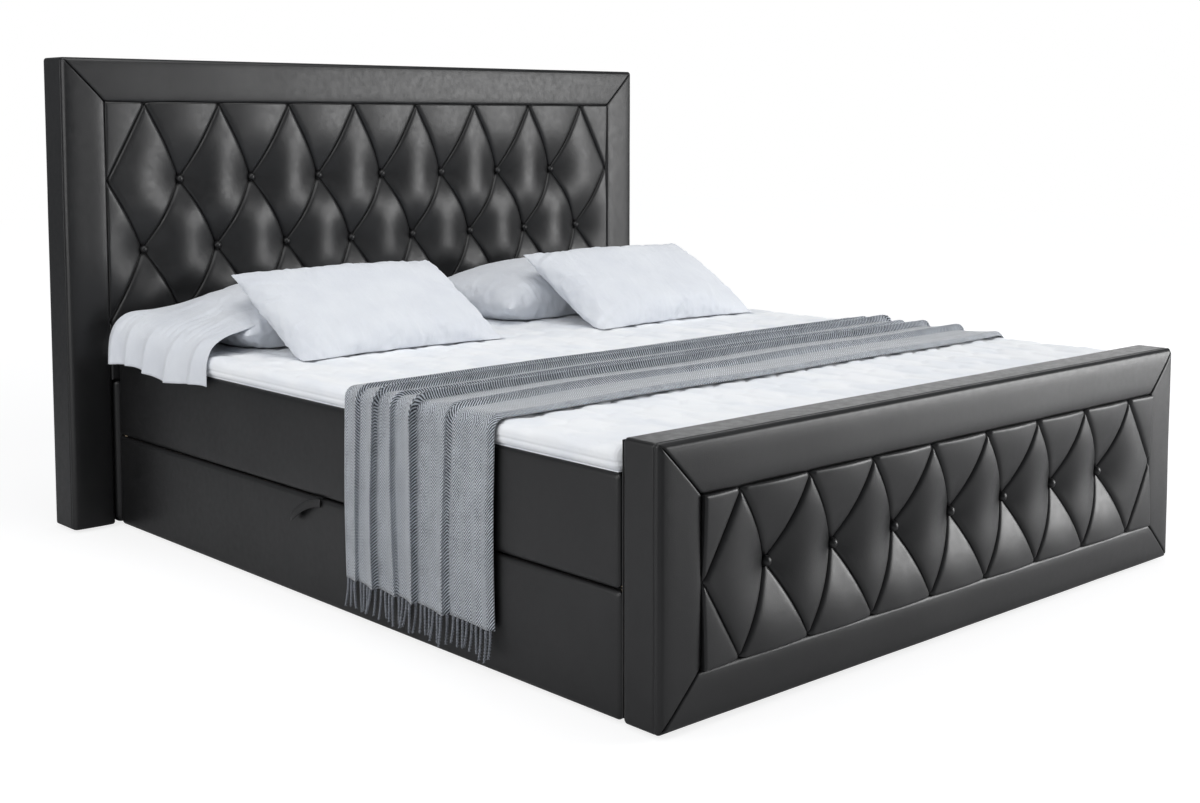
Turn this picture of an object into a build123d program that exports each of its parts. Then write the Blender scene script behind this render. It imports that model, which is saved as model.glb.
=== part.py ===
from build123d import *
import math
import os

# Box: the lower chest and the upper box, between the headboard and the footboard
box_width = 1800.0
box_length = 2000.0
seam_height = 253.0
box_height = 470.0
seam_gap = 4.0
glide_height = 8.0
cover_thickness = 20.0
cover_roll = 12.0
cover_crown = 2.5
board_thickness = 16.0

# Headboard
headboard_width = 2060.0
headboard_height = 1275.0
headboard_depth = 130.0
headboard_border = 120.0
headboard_set_back = 40.0
headboard_crown = 35.0
headboard_row_pitch = 192.0
headboard_first_row_drop = 209.0
headboard_panel_overlap = 60.0

# Footboard
footboard_height = 540.0
footboard_depth = 108.0
footboard_border = 110.0
footboard_set_back = 32.0
footboard_crown = 27.0

# Upholstery of both boards
diamond_columns = 8
headboard_button_rows = 3
quilt_thickness = 14.0
rail_wall = 12.0
rail_roll = 11.0
rail_face_fall = 4.0
mitre_gap = 0.8
back_board_thickness = 12.0
lining_thickness = 3.0
button_radius = 12.0
button_height = 9.0
button_seat_gap = 1.0
timber_width = 70.0
board_bolt_radius = 5.0
board_bolt_head_radius = 9.0
board_bolt_head_height = 5.0
board_bolt_share = 0.62
board_bolt_level = 55.0
board_bolt_grip = 28.0
button_dome_shares = (0.71, 0.76)

# Small clearances
fit = 0.3
lid_end_gap = 4.0
running_gap = 0.05

# Chest
floor_thickness = 6.0
floor_beam_width = 60.0
floor_beam_height = 14.0
floor_beam_count = 5
corner_block_side = 40.0
corner_block_drop = 8.0
glide_radius = 18.0
glide_share = 0.92
pad_side = 14.0
pad_count = 4

# Lid frame and upholstery inside the upper box
lid_rail_thickness = 22.0
lid_frame_height = 58.0
slat_count = 13
slat_width = 70.0
slat_thickness = 18.0
centre_beam_width = 60.0
dust_cloth_thickness = 1.5
dust_cloth_inset = 46.0
end_cover_thickness = 6.0
foam_thickness = 30.0
top_cloth_thickness = 4.0
spring_row_count = 26
spring_row_crown = 7.0

# Hinges along the far side
hinge_axis_inset = 2.0
knuckle_radius = 4.0
hinge_pin_radius = 2.0
hinge_length = 96.0
leaf_reach = 44.0
leaf_thickness = 1.6
hinge_count = 3
hinge_spread_share = 0.36
lid_open_angle = 40.0

# Gas struts at the two ends of the chest
strut_plane_inset = 50.0
strut_lid_reach = 404.0
strut_chest_reach = 154.0
strut_chest_drop = 190.0
strut_lid_drop = 22.0
strut_tube_radius = 11.0
strut_tube_wall = 2.0
strut_tube_length = 246.0
strut_gland_length = 10.0
strut_rod_radius = 5.0
strut_piston_length = 8.0
strut_rod_tail_share = 0.23
strut_eye_radius = 9.0
strut_eye_width = 12.0
strut_pin_radius = 4.0
bracket_thickness = 3.0
bracket_half_width = 22.0
bracket_margin = 14.0
open_pivot_gap = 0.4

# Pull loop in the seam, half way along the near side
strap_width = 28.0
strap_thickness = 3.0
strap_length = 108.0
strap_bend_radius = 8.0
strap_droop_angle = 28.0
strap_tab_reach = 34.0
strap_tab_thickness = 1.6
strap_side_gap = 0.1

# Topper
topper_thickness = 52.0
topper_band_height = 20.0
topper_roll = 20.0
topper_seam_depth = 3.0
topper_seam_height = 2.0
topper_channel_count = 12
topper_channel_depth = 2.0
topper_cloth = 8.0
topper_underside_thickness = 2.0

# Throw laid across the foot half of the bed
throw_width = 525.0
throw_near_edge = 343.0
throw_thickness = 9.0
throw_fold_count = 6
throw_fold_rise = 7.0
throw_bend_radius = 24.0
throw_side_gap = 6.0
throw_near_hem = 116.0
throw_far_hem = 338.0
tassel_length = 66.0
tassel_radius = 4.0
tassel_sides = 6
tassel_count = 24

# Pillows, measured plumped up; their low edges' places run from the headboard's face
pillow_length = 640.0
pillow_depth = 410.0
pillow_thickness = 128.0
pillow_edge = 7.0
front_pillow_lean = 30.0
front_pillow_lift = 0.4
front_left_pillow_x = -445.0
front_left_pillow_reach = 732.0
front_right_pillow_x = 500.0
front_right_pillow_reach = 778.0
back_pillow_length = 740.0
back_pillow_depth = 430.0
back_pillow_thickness = 158.0
back_left_pillow_x = -425.0
back_right_pillow_x = 430.0
back_pillow_reach = 512.0
back_pillow_lean = 3.0
pillow_press_gap = 0.6

# Open end of the back left pillowcase, hanging over the near edge
flap_length = 470.0
flap_thickness = 4.0
flap_fold_rise = 9.0
flap_fold_count = 4
flap_stand_out = 34.0
flap_hem_height = 448.0
flap_hem_stand_out = 52.0

# Places worked out from the sizes above
half_width = box_width / 2
overall_length = footboard_depth + box_length + headboard_depth
foot_face = footboard_depth - overall_length / 2
head_face = foot_face + box_length
mid_y = (foot_face + head_face) / 2
chest_top = seam_height - seam_gap / 2
lid_bottom = seam_height + seam_gap / 2
topper_top = box_height + fit + topper_thickness
cut_over = box_length
hinge_x = half_width - hinge_axis_inset
lid_foot = foot_face + lid_end_gap
lid_head = head_face - lid_end_gap
frame_foot = lid_foot + end_cover_thickness + fit
frame_head = lid_head - end_cover_thickness - fit
frame_half = half_width - cover_thickness - fit
board_half = half_width - cover_thickness - fit
slat_top = lid_bottom + lid_frame_height
foam_top = box_height - top_cloth_thickness - fit
spring_top = foam_top - foam_thickness - fit
chest_floor_top = glide_height + floor_beam_height + floor_thickness


def block(x_low, x_high, y_low, y_high, z_low, z_high):
    centre = Pos((x_low + x_high) / 2, (y_low + y_high) / 2, (z_low + z_high) / 2)
    return centre * Box(x_high - x_low, y_high - y_low, z_high - z_low)


def group(solids):
    return Compound(children=list(solids))


def both_sides(shape):
    return group([shape, mirror(shape, about=Plane.YZ)])


def save(shape, node):
    export_step(shape, f"parts/{node}.step")


class Board:
    """Headboard or footboard: a tufted panel in a mitred border, on a timber frame."""

    def __init__(self, width, height, depth, border, face, set_back, crown):
        self.half = width / 2
        self.height = height
        self.depth = depth
        self.border = border
        self.face = face
        self.set_back = set_back
        self.crown = crown
        self.quilt_back = face + set_back + quilt_thickness
        self.board_back = self.quilt_back + back_board_thickness
        self.back = face + depth
        self.timber_back = self.back - lining_thickness
        self.inner_half = self.half - border
        self.inner_top = height - border
        self.pitch = 2 * self.inner_half / diamond_columns


def make_headboard():
    board = Board(
        headboard_width, headboard_height, headboard_depth, headboard_border,
        head_face, headboard_set_back, headboard_crown,
    )
    board.row_pitch = headboard_row_pitch
    board.first_row = board.inner_top - headboard_first_row_drop
    board.rows = headboard_button_rows
    board.panel_low = box_height - headboard_panel_overlap
    board.timber_low = glide_height
    return board


def make_footboard():
    face = foot_face - footboard_depth
    board = Board(
        box_width, footboard_height, footboard_depth, footboard_border,
        face, footboard_set_back, footboard_crown,
    )
    board.panel_low = footboard_border
    board.row_pitch = (board.inner_top - board.panel_low) / 2
    board.first_row = (board.inner_top + board.panel_low) / 2
    board.rows = 1
    board.timber_low = glide_height + rail_wall + fit
    return board


def rail_section(board):
    """Padded front block, with a thin wall that wraps round the outer side to the back."""
    border = board.border
    block_back = board.quilt_back - board.face
    wall_back = board.timber_back - board.face
    front = ThreePointArc((0, rail_face_fall), (border / 2, 0), (border, rail_face_fall))
    rest = Polyline(
        (border, rail_face_fall),
        (border, wall_back),
        (border - rail_wall, wall_back),
        (border - rail_wall, block_back),
        (0, block_back),
        (0, rail_face_fall),
    )
    face = make_face(front + rest)
    soft_corners = face.vertices().filter_by(lambda corner: abs(corner.Y - rail_face_fall) < fit)
    return fillet(soft_corners, rail_roll)


def swept_rail(board, origin, outward, run):
    """The rail's section pushed along its run, with u outward and v towards the back."""
    plane = Plane(origin=origin, x_dir=outward, z_dir=run)
    return extrude(plane * rail_section(board), amount=headboard_width + cut_over, both=True)


def mitre_block(board, corners):
    outline = make_face(Polyline(*corners, close=True))
    prism = extrude(Plane.XZ * outline, amount=cut_over, both=True)
    return Pos(0, board.face, 0) * prism


def top_rail(board):
    rail = swept_rail(board, (0, board.face, board.inner_top), (0, 0, 1), (-1, 0, 0))
    corners = [
        (-board.half + mitre_gap, board.height),
        (board.half - mitre_gap, board.height),
        (board.inner_half - mitre_gap, board.inner_top),
        (-board.inner_half + mitre_gap, board.inner_top),
    ]
    return rail & mitre_block(board, corners)


def side_rail(board, foot_corner):
    """Left rail; its lower end is square on the headboard and mitred on the footboard."""
    rail = swept_rail(board, (-board.inner_half, board.face, 0), (-1, 0, 0), (0, 0, -1))
    corners = [
        (-board.half, board.height - mitre_gap),
        (-board.inner_half, board.inner_top - mitre_gap),
        (-board.inner_half, foot_corner),
        (-board.half, glide_height + mitre_gap),
    ]
    return rail & mitre_block(board, corners)


def bottom_rail(board):
    rail = swept_rail(board, (0, board.face, board.panel_low), (0, 0, -1), (1, 0, 0))
    corners = [
        (-board.half + mitre_gap, glide_height),
        (board.half - mitre_gap, glide_height),
        (board.inner_half - mitre_gap, board.panel_low),
        (-board.inner_half + mitre_gap, board.panel_low),
    ]
    return rail & mitre_block(board, corners)


def ridge_run(board, lean):
    """Rounded ridges between the folds of one direction; lean is 1 or -1."""
    angle = math.atan2(board.row_pitch, board.pitch / 2)
    spacing = board.pitch * math.sin(angle)
    reach = board.inner_half + board.height
    count = math.ceil(reach / spacing)
    edges = []
    for step in range(-count, count):
        start = step * spacing
        crest = (start + spacing / 2, board.crown)
        edges.append(ThreePointArc((start, 0), crest, (start + spacing, 0)))
    end = count * spacing
    edges.append(Polyline((end, 0), (end, -quilt_thickness), (-end, -quilt_thickness), (-end, 0)))
    across = (math.sin(angle) * lean, 0, -math.cos(angle))
    along = (-math.cos(angle), 0, -math.sin(angle) * lean)
    origin = (0, board.face + board.set_back, board.first_row)
    plane = Plane(origin=origin, x_dir=across, z_dir=along)
    return extrude(plane * make_face(Curve() + edges), amount=reach, both=True)


def button_places(board):
    """Centres of the tufts: rows of seven and eight by turns, on the panel's fold plane."""
    places = []
    for row in range(board.rows):
        height = board.first_row - row * board.row_pitch
        shift = (row % 2) / 2
        count = diamond_columns - 1 + row % 2
        for column in range(count):
            step = column - (diamond_columns / 2 - 1) - 2 * shift + shift
            places.append((step * board.pitch, height))
    return places


def tufted_panel(board):
    """Two crossing sets of ridges: where they meet they leave diamonds and deep folds."""
    rectangle = block(
        -board.inner_half + fit, board.inner_half - fit,
        board.face - cover_thickness, board.quilt_back,
        board.panel_low + fit, board.inner_top - fit,
    )
    panel = rectangle & ridge_run(board, 1) & ridge_run(board, -1)
    seat_radius = button_radius + button_seat_gap
    for x, z in button_places(board):
        seat = Cylinder(seat_radius, board.crown + fit, align=(Align.CENTER, Align.CENTER, Align.MIN))
        panel -= Pos(x, board.face + board.set_back, z) * Rot(90, 0, 0) * seat
    return panel


def button():
    """Domed, leather covered button, lying on its flat back and pointing up."""
    shoulder = (button_radius * button_dome_shares[0], button_height * button_dome_shares[1])
    dome = ThreePointArc((0, button_height), shoulder, (button_radius, 0))
    rest = Polyline((button_radius, 0), (0, 0), (0, button_height))
    return revolve(Plane.XZ * make_face(dome + rest), axis=Axis.Z)


def buttons(board):
    knob = Rot(90, 0, 0) * button()
    level = board.face + board.set_back
    return group([Pos(x, level, z) * knob for x, z in button_places(board)])


def back_board(board):
    return block(
        -board.half + rail_wall + fit, board.half - rail_wall - fit,
        board.quilt_back + fit, board.board_back,
        board.timber_low, board.height - rail_wall - fit,
    )


def timber(board):
    """Two posts with a top and a bottom beam between them, behind the back board."""
    front = board.board_back + fit
    back = board.timber_back - fit
    outer = board.half - rail_wall - fit
    low = board.timber_low
    top = board.height - rail_wall - fit
    post = block(-outer, -outer + timber_width, front, back, low, top)
    inner = outer - timber_width - fit
    top_beam = block(-inner, inner, front, back, top - timber_width, top)
    low_beam = block(-inner, inner, front, back, low, low + timber_width) - bolt_holes()
    return group([post, mirror(post, about=Plane.YZ), top_beam, low_beam])


def back_lining(board):
    sheet = block(
        -board.half, board.half,
        board.timber_back, board.back,
        glide_height, board.height,
    )
    return sheet - bolt_holes()


def glide():
    return Cylinder(glide_radius, glide_height, align=(Align.CENTER, Align.CENTER, Align.MIN))


def board_glides(board):
    """Feet under the posts and the lower beam."""
    outer = board.half - rail_wall - fit
    places = [outer - timber_width / 2, outer - 3 * timber_width]
    y = (board.board_back + board.timber_back) / 2
    solids = []
    for x in places:
        foot = Pos(-x, y, 0) * glide()
        solids += [foot, mirror(foot, about=Plane.YZ)]
    return solids


def lower_pad():
    """Plain block below the headboard's tufted part, which the chest is bolted to."""
    pad = block(
        -headboard.inner_half + fit, headboard.inner_half - fit,
        headboard.face, headboard.quilt_back,
        glide_height, headboard.panel_low,
    )
    return pad - bolt_holes()


def bolt_line(face, radius):
    """Two round bars along Y through one end of the chest, where its bolts go."""
    x = board_half * board_bolt_share
    reach = board_thickness + board_bolt_grip
    bar = Pos(x, face, board_bolt_level) * Rot(90, 0, 0) * Cylinder(radius, 2 * reach)
    return [bar, mirror(bar, about=Plane.YZ)]


def bolt_holes():
    radius = board_bolt_radius + running_gap
    return bolt_line(foot_face, radius) + bolt_line(head_face, radius)


def end_bolts(face, inward):
    """Bolts from inside the chest through its end board into the headboard or footboard."""
    inner = face + inward * board_thickness
    outer = face - inward * board_bolt_grip
    x = board_half * board_bolt_share
    shank = Cylinder(board_bolt_radius, abs(inner - outer))
    shank = Pos(x, (inner + outer) / 2, board_bolt_level) * Rot(90, 0, 0) * shank
    head = Cylinder(board_bolt_head_radius, board_bolt_head_height)
    head_y = inner + inward * board_bolt_head_height / 2
    bolt = shank + Pos(x, head_y, board_bolt_level) * Rot(90, 0, 0) * head
    return [bolt, mirror(bolt, about=Plane.YZ)]


def cover_section(low, high, top_roll, low_roll):
    """Upholstered side of a box: a softly crowned outer face with rolled edges, u outward."""
    crown = ThreePointArc((-cover_crown, low), (0, (low + high) / 2), (-cover_crown, high))
    rest = Polyline(
        (-cover_crown, high),
        (-cover_thickness, high),
        (-cover_thickness, low),
        (-cover_crown, low),
    )
    face = make_face(crown + rest)
    outer = face.vertices().filter_by(lambda corner: abs(corner.X + cover_crown) < fit)
    face = fillet(outer.sort_by(Axis.Y)[-1], top_roll)
    outer = face.vertices().filter_by(lambda corner: abs(corner.X + cover_crown) < fit)
    return fillet(outer.sort_by(Axis.Y)[0], low_roll)


def side_cover(low, high, y_low, y_high, top_roll, low_roll):
    """Cover of the far side; the near one is its mirror image."""
    plane = Plane(origin=(half_width, y_high, 0), x_dir=(1, 0, 0), z_dir=(0, -1, 0))
    return extrude(plane * cover_section(low, high, top_roll, low_roll), amount=y_high - y_low)


def chest_side_board():
    return block(
        board_half - board_thickness, board_half,
        foot_face + board_thickness + fit, head_face - board_thickness - fit,
        glide_height, chest_top,
    )


def chest_end_boards():
    half = board_half
    foot = block(-half, half, foot_face, foot_face + board_thickness, glide_height, chest_top)
    head = block(-half, half, head_face - board_thickness, head_face, glide_height, chest_top)
    return group([foot - bolt_holes(), head - bolt_holes()])


def chest_floor_beams():
    """Battens along the chest, under its floor."""
    inner = board_half - board_thickness - fit
    y_low = foot_face + board_thickness + fit
    y_high = head_face - board_thickness - fit
    solids = []
    for index in range(floor_beam_count):
        share = index / (floor_beam_count - 1)
        x = -inner + floor_beam_width / 2 + share * (2 * inner - floor_beam_width)
        solids.append(block(
            x - floor_beam_width / 2, x + floor_beam_width / 2,
            y_low, y_high,
            glide_height, glide_height + floor_beam_height,
        ))
    return group(solids)


def chest_floor_panels():
    """Two thin panels that meet on the middle batten."""
    inner = board_half - board_thickness - fit
    low = glide_height + floor_beam_height
    near = block(
        -inner, -fit / 2,
        foot_face + board_thickness + fit, head_face - board_thickness - fit,
        low, low + floor_thickness,
    )
    return both_sides(near)


def chest_corner_blocks():
    inner = board_half - board_thickness - fit
    low = chest_floor_top + fit
    high = chest_top - corner_block_drop
    foot = foot_face + board_thickness + fit
    head = head_face - board_thickness - fit
    near_foot = block(-inner, -inner + corner_block_side, foot, foot + corner_block_side, low, high)
    near_head = block(-inner, -inner + corner_block_side, head - corner_block_side, head, low, high)
    return group([
        near_foot, mirror(near_foot, about=Plane.YZ),
        near_head, mirror(near_head, about=Plane.YZ),
    ])


def chest_glides():
    """Round feet under the outer and middle battens."""
    inner = board_half - board_thickness - fit
    x_outer = inner - floor_beam_width / 2
    y_outer = box_length / 2 * glide_share
    solids = []
    for x in (-x_outer, 0, x_outer):
        for y in (mid_y - y_outer, mid_y, mid_y + y_outer):
            solids.append(Pos(x, y, 0) * glide())
    return solids


def rest_pads():
    """Small felt pads on the near board's top edge, which the closed lid comes down on."""
    x = -(board_half - board_thickness / 2)
    span = box_length * hinge_spread_share * 2
    solids = []
    for index in range(pad_count):
        y = mid_y - span / 2 + span * index / (pad_count - 1)
        solids.append(block(
            x - pad_side / 2, x + pad_side / 2,
            y - pad_side / 2, y + pad_side / 2,
            chest_top, lid_bottom - fit,
        ))
    return group(solids)


def knuckle(y_low, y_high):
    barrel = Cylinder(knuckle_radius, y_high - y_low)
    bore = Cylinder(hinge_pin_radius + running_gap, cut_over)
    ring = barrel - bore
    return Pos(hinge_x, (y_low + y_high) / 2, seam_height) * Rot(90, 0, 0) * ring


def hinge_places():
    span = box_length * hinge_spread_share * 2
    return [mid_y - span / 2 + span * index / (hinge_count - 1) for index in range(hinge_count)]


def pin_bore(y):
    bore = Cylinder(hinge_pin_radius + running_gap, hinge_length + hinge_length)
    return Pos(hinge_x, y, seam_height) * Rot(90, 0, 0) * bore


def chest_leaf(y):
    """Lower leaf on the board's top edge, with the two outer knuckles."""
    half = hinge_length / 2
    sixth = hinge_length / 6
    plate = block(hinge_x - leaf_reach, hinge_x, y - half, y + half, chest_top, chest_top + leaf_thickness)
    gap = block(
        hinge_x - knuckle_radius - fit, hinge_x + knuckle_radius,
        y - sixth - fit, y + sixth + fit,
        chest_top - fit, lid_bottom,
    )
    leaf = plate - gap + knuckle(y - half, y - sixth - fit) + knuckle(y + sixth + fit, y + half)
    return leaf - pin_bore(y)


def lid_leaf(y):
    """Upper leaf under the lid frame, with the middle knuckle."""
    half = hinge_length / 2
    sixth = hinge_length / 6
    plate = block(
        hinge_x - leaf_reach, hinge_x,
        y - half, y + half,
        lid_bottom - leaf_thickness, lid_bottom,
    )
    clear = knuckle_radius + fit
    for y_low, y_high in ((y - half - fit, y - sixth), (y + sixth, y + half + fit)):
        plate -= block(
            hinge_x - clear, hinge_x + clear,
            y_low, y_high,
            chest_top, lid_bottom + fit,
        )
    return plate + knuckle(y - sixth, y + sixth) - pin_bore(y)


def hinge_pin(y):
    return Pos(hinge_x, y, seam_height) * Rot(90, 0, 0) * Cylinder(hinge_pin_radius, hinge_length)


def lid_side_rail():
    return block(
        frame_half - lid_rail_thickness, frame_half,
        frame_foot + lid_rail_thickness + fit, frame_head - lid_rail_thickness - fit,
        lid_bottom, slat_top,
    )


def lid_end_rails():
    foot = block(
        -frame_half, frame_half,
        frame_foot, frame_foot + lid_rail_thickness,
        lid_bottom, slat_top,
    )
    head = block(
        -frame_half, frame_half,
        frame_head - lid_rail_thickness, frame_head,
        lid_bottom, slat_top,
    )
    return group([foot, head])


def lid_centre_beam():
    return block(
        -centre_beam_width / 2, centre_beam_width / 2,
        frame_foot + lid_rail_thickness + fit, frame_head - lid_rail_thickness - fit,
        lid_bottom + dust_cloth_thickness + fit, slat_top - slat_thickness,
    )


def lid_slats():
    """Slats across the frame, which carry the spring core."""
    inner = frame_half - lid_rail_thickness - fit
    first = frame_foot + lid_rail_thickness + fit + slat_width / 2
    last = frame_head - lid_rail_thickness - fit - slat_width / 2
    solids = []
    for index in range(slat_count):
        y = first + (last - first) * index / (slat_count - 1)
        solids.append(block(
            -inner, inner,
            y - slat_width / 2, y + slat_width / 2,
            slat_top - slat_thickness + fit, slat_top,
        ))
    return group(solids)


def lid_dust_cloth():
    """Cloth under the lid frame, let in between its rails and clear of the struts."""
    inner = frame_half - lid_rail_thickness - fit
    return block(
        -inner, inner,
        frame_foot + dust_cloth_inset, frame_head - dust_cloth_inset,
        lid_bottom, lid_bottom + dust_cloth_thickness,
    )


def spring_core():
    """Block of pocket springs, one rounded ridge for each row of pockets."""
    half = frame_half - fit
    low = slat_top + fit
    pitch = 2 * half / spring_row_count
    edges = []
    for index in range(spring_row_count):
        start = -half + index * pitch
        crest = (start + pitch / 2, spring_top)
        edges.append(ThreePointArc(
            (start, spring_top - spring_row_crown), crest, (start + pitch, spring_top - spring_row_crown),
        ))
    edges.append(Polyline(
        (half, spring_top - spring_row_crown), (half, low), (-half, low),
        (-half, spring_top - spring_row_crown),
    ))
    plane = Plane(origin=(0, lid_head - end_cover_thickness - fit, 0), x_dir=(1, 0, 0), z_dir=(0, -1, 0))
    length = lid_head - lid_foot - 2 * end_cover_thickness - 2 * fit
    return extrude(plane * make_face(Curve() + edges), amount=length)


def lid_foam_pad():
    half = frame_half - fit
    return block(-half, half, frame_foot, frame_head, spring_top + fit, foam_top)


def lid_top_cloth():
    return block(-frame_half, frame_half, frame_foot, frame_head, foam_top + fit, box_height)


def lid_end_covers():
    half = frame_half
    foot = block(-half, half, lid_foot, lid_foot + end_cover_thickness, lid_bottom, box_height)
    head = block(-half, half, lid_head - end_cover_thickness, lid_head, lid_bottom, box_height)
    return group([foot, head])


class Strut:
    """One gas strut in its own plane: chest pin, lid pin, rest length and swing."""

    def __init__(self, side):
        self.side = side
        if side < 0:
            self.y = foot_face + strut_plane_inset
        else:
            self.y = head_face - strut_plane_inset
        self.chest_pin = Vector(hinge_x - strut_chest_reach, self.y, seam_height - strut_chest_drop)
        self.lid_pin = Vector(hinge_x - strut_lid_reach, self.y, seam_height - strut_lid_drop)
        span = self.lid_pin - self.chest_pin
        self.length = span.length
        self.angle = math.degrees(math.atan2(span.Z, span.X))
        turn = math.radians(lid_open_angle)
        back_x = -strut_lid_reach * math.cos(turn) - strut_lid_drop * math.sin(turn)
        back_z = strut_lid_reach * math.sin(turn) - strut_lid_drop * math.cos(turn)
        open_x = back_x + strut_chest_reach
        open_z = back_z + strut_chest_drop
        self.stroke = math.hypot(open_x, open_z) - self.length
        self.swing = self.angle - math.degrees(math.atan2(open_z, open_x))

    def place(self, shape):
        """Put a shape drawn along +X from the chest pin into the strut's resting line."""
        frame = Pos(self.chest_pin.X, self.chest_pin.Y, self.chest_pin.Z)
        return frame * Rot(0, -self.angle, 0) * shape


def eye_disc(radius):
    return Rot(90, 0, 0) * Cylinder(radius, strut_eye_width)


def along_strut(start, end, radius):
    return Pos((start + end) / 2, 0, 0) * Rot(0, 90, 0) * Cylinder(radius, end - start)


def strut_cylinder(strut):
    """Tube with a closed eye end, and a gland that the rod slides in."""
    tube_start = strut_eye_radius / 2
    tube_end = strut_eye_radius + strut_tube_length
    body = along_strut(tube_start, tube_end, strut_tube_radius)
    body += eye_disc(strut_eye_radius)
    bore_start = strut_eye_radius + strut_tube_radius
    body -= along_strut(bore_start, tube_end - strut_gland_length, strut_tube_radius - strut_tube_wall)
    body -= along_strut(bore_start, tube_end + strut_tube_radius, strut_rod_radius + running_gap)
    pin_hole = Rot(90, 0, 0) * Cylinder(strut_pin_radius + running_gap, cut_over)
    return strut.place(body - pin_hole)


def strut_rod(strut):
    """Rod with its piston inside the tube and a joint housing at the lid end."""
    tail = strut.length * strut_rod_tail_share
    rod = along_strut(tail, strut.length - strut_eye_radius / 2, strut_rod_radius)
    piston_radius = strut_tube_radius - strut_tube_wall - running_gap
    rod += along_strut(tail, tail + strut_piston_length, piston_radius)
    rod += Pos(strut.length, 0, 0) * eye_disc(strut_eye_radius)
    return strut.place(rod)


def strut_chest_bracket(strut):
    """Plate on the chest's end board, with the pin that the tube's eye turns on."""
    outward = strut.side
    board_face = foot_face + board_thickness if outward < 0 else head_face - board_thickness
    plate_far = board_face - outward * bracket_thickness
    x, z = strut.chest_pin.X, strut.chest_pin.Z
    plate = block(
        x - bracket_half_width, x + bracket_half_width,
        min(board_face, plate_far), max(board_face, plate_far),
        z - bracket_margin, z + 2 * bracket_margin,
    )
    pin_end = strut.y - outward * strut_eye_width / 2
    pin = Cylinder(strut_pin_radius, abs(pin_end - plate_far))
    return plate + Pos(x, (pin_end + plate_far) / 2, z) * Rot(90, 0, 0) * pin


def strut_lid_bracket(strut):
    """Plate on the inside of the lid's end rail, reaching down to the stud for the rod."""
    outward = strut.side
    rail_face = frame_foot + lid_rail_thickness if outward < 0 else frame_head - lid_rail_thickness
    near = rail_face - outward * fit
    far = near - outward * bracket_thickness
    x, z = strut.lid_pin.X, strut.lid_pin.Z
    plate = block(
        x - bracket_half_width, x + bracket_half_width,
        min(near, far), max(near, far),
        z - bracket_margin, slat_top - slat_thickness - fit,
    )
    eye_face = strut.y + outward * strut_eye_width / 2
    stud_end = eye_face + outward * open_pivot_gap
    stud = Cylinder(strut_pin_radius, abs(stud_end - far))
    return plate + Pos(x, (stud_end + far) / 2, z) * Rot(90, 0, 0) * stud


def pull_loop():
    """Strap folded back on itself, hanging from the seam and drooping to the head end."""
    outer_radius = strap_bend_radius + strap_thickness
    tip = strap_length - outer_radius
    outer = make_face(
        Polyline((0, -outer_radius), (0, outer_radius), (tip, outer_radius))
        + ThreePointArc((tip, outer_radius), (tip + outer_radius, 0), (tip, -outer_radius))
        + Line((tip, -outer_radius), (0, -outer_radius))
    )
    inner = make_face(
        Polyline((strap_thickness, -strap_bend_radius), (strap_thickness, strap_bend_radius),
                 (tip, strap_bend_radius))
        + ThreePointArc((tip, strap_bend_radius), (strap_length - strap_thickness, 0),
                        (tip, -strap_bend_radius))
        + Line((tip, -strap_bend_radius), (strap_thickness, -strap_bend_radius))
    )
    droop = math.radians(strap_droop_angle)
    down_the_strap = (0, math.cos(droop), -math.sin(droop))
    across = (0, -math.sin(droop), -math.cos(droop))
    origin = (strap_x, strap_y, strap_z)
    plane = Plane(origin=origin, x_dir=down_the_strap, z_dir=across)
    return extrude(plane * (outer - inner), amount=strap_width / 2, both=True)


def pull_loop_tab():
    """End of the strap, held between the lid frame and the cover."""
    half = strap_width / 2
    return block(
        -half_width - strap_side_gap, -half_width + strap_tab_reach,
        strap_y - half, strap_y + half,
        lid_bottom - strap_tab_thickness - fit, lid_bottom - fit,
    )


def topper_profile():
    """Half of the topper's cross-section: lower band, seam, rolled edge, sewn channels."""
    half = half_width
    band_top = topper_low + topper_band_height
    edge_top = topper_top - topper_channel_depth
    roll_low = band_top + topper_seam_height
    flat_half = half - topper_roll
    pitch = 2 * flat_half / topper_channel_count
    edges = []
    for index in range(topper_channel_count):
        start = -flat_half + index * pitch
        crest = (start + pitch / 2, topper_top)
        edges.append(ThreePointArc((start, edge_top), crest, (start + pitch, edge_top)))
    bend = math.radians(45)
    drop = edge_top - roll_low
    belly = (flat_half + topper_roll * math.sin(bend), roll_low + drop * math.cos(bend))
    far_roll = ThreePointArc((flat_half, edge_top), belly, (half, roll_low))
    near_roll = ThreePointArc((-half, roll_low), (-belly[0], belly[1]), (-flat_half, edge_top))
    edges += [far_roll, near_roll]
    edges.append(Polyline(
        (half, roll_low),
        (half - topper_seam_depth, band_top + topper_seam_height / 2),
        (half, band_top),
        (half, topper_low),
        (-half, topper_low),
        (-half, band_top),
        (-half + topper_seam_depth, band_top + topper_seam_height / 2),
        (-half, roll_low),
    ))
    return make_face(Curve() + edges)


def topper_cover():
    """Quilted cover, open below, where the thin underside closes it."""
    plane = Plane(origin=(0, lid_head, 0), x_dir=(1, 0, 0), z_dir=(0, -1, 0))
    cover = extrude(plane * topper_profile(), amount=lid_head - lid_foot)
    inner = half_width - topper_cloth
    pocket = block(
        -inner, inner,
        lid_foot + topper_cloth, lid_head - topper_cloth,
        topper_low - fit, topper_top - topper_channel_depth - topper_cloth,
    )
    return cover - pocket


def topper_core():
    inner = half_width - topper_cloth - topper_roll / 2
    return block(
        -inner, inner,
        lid_foot + topper_cloth + fit, lid_head - topper_cloth - fit,
        topper_low + topper_underside_thickness + fit,
        topper_top - topper_channel_depth - topper_cloth - fit,
    )


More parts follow.
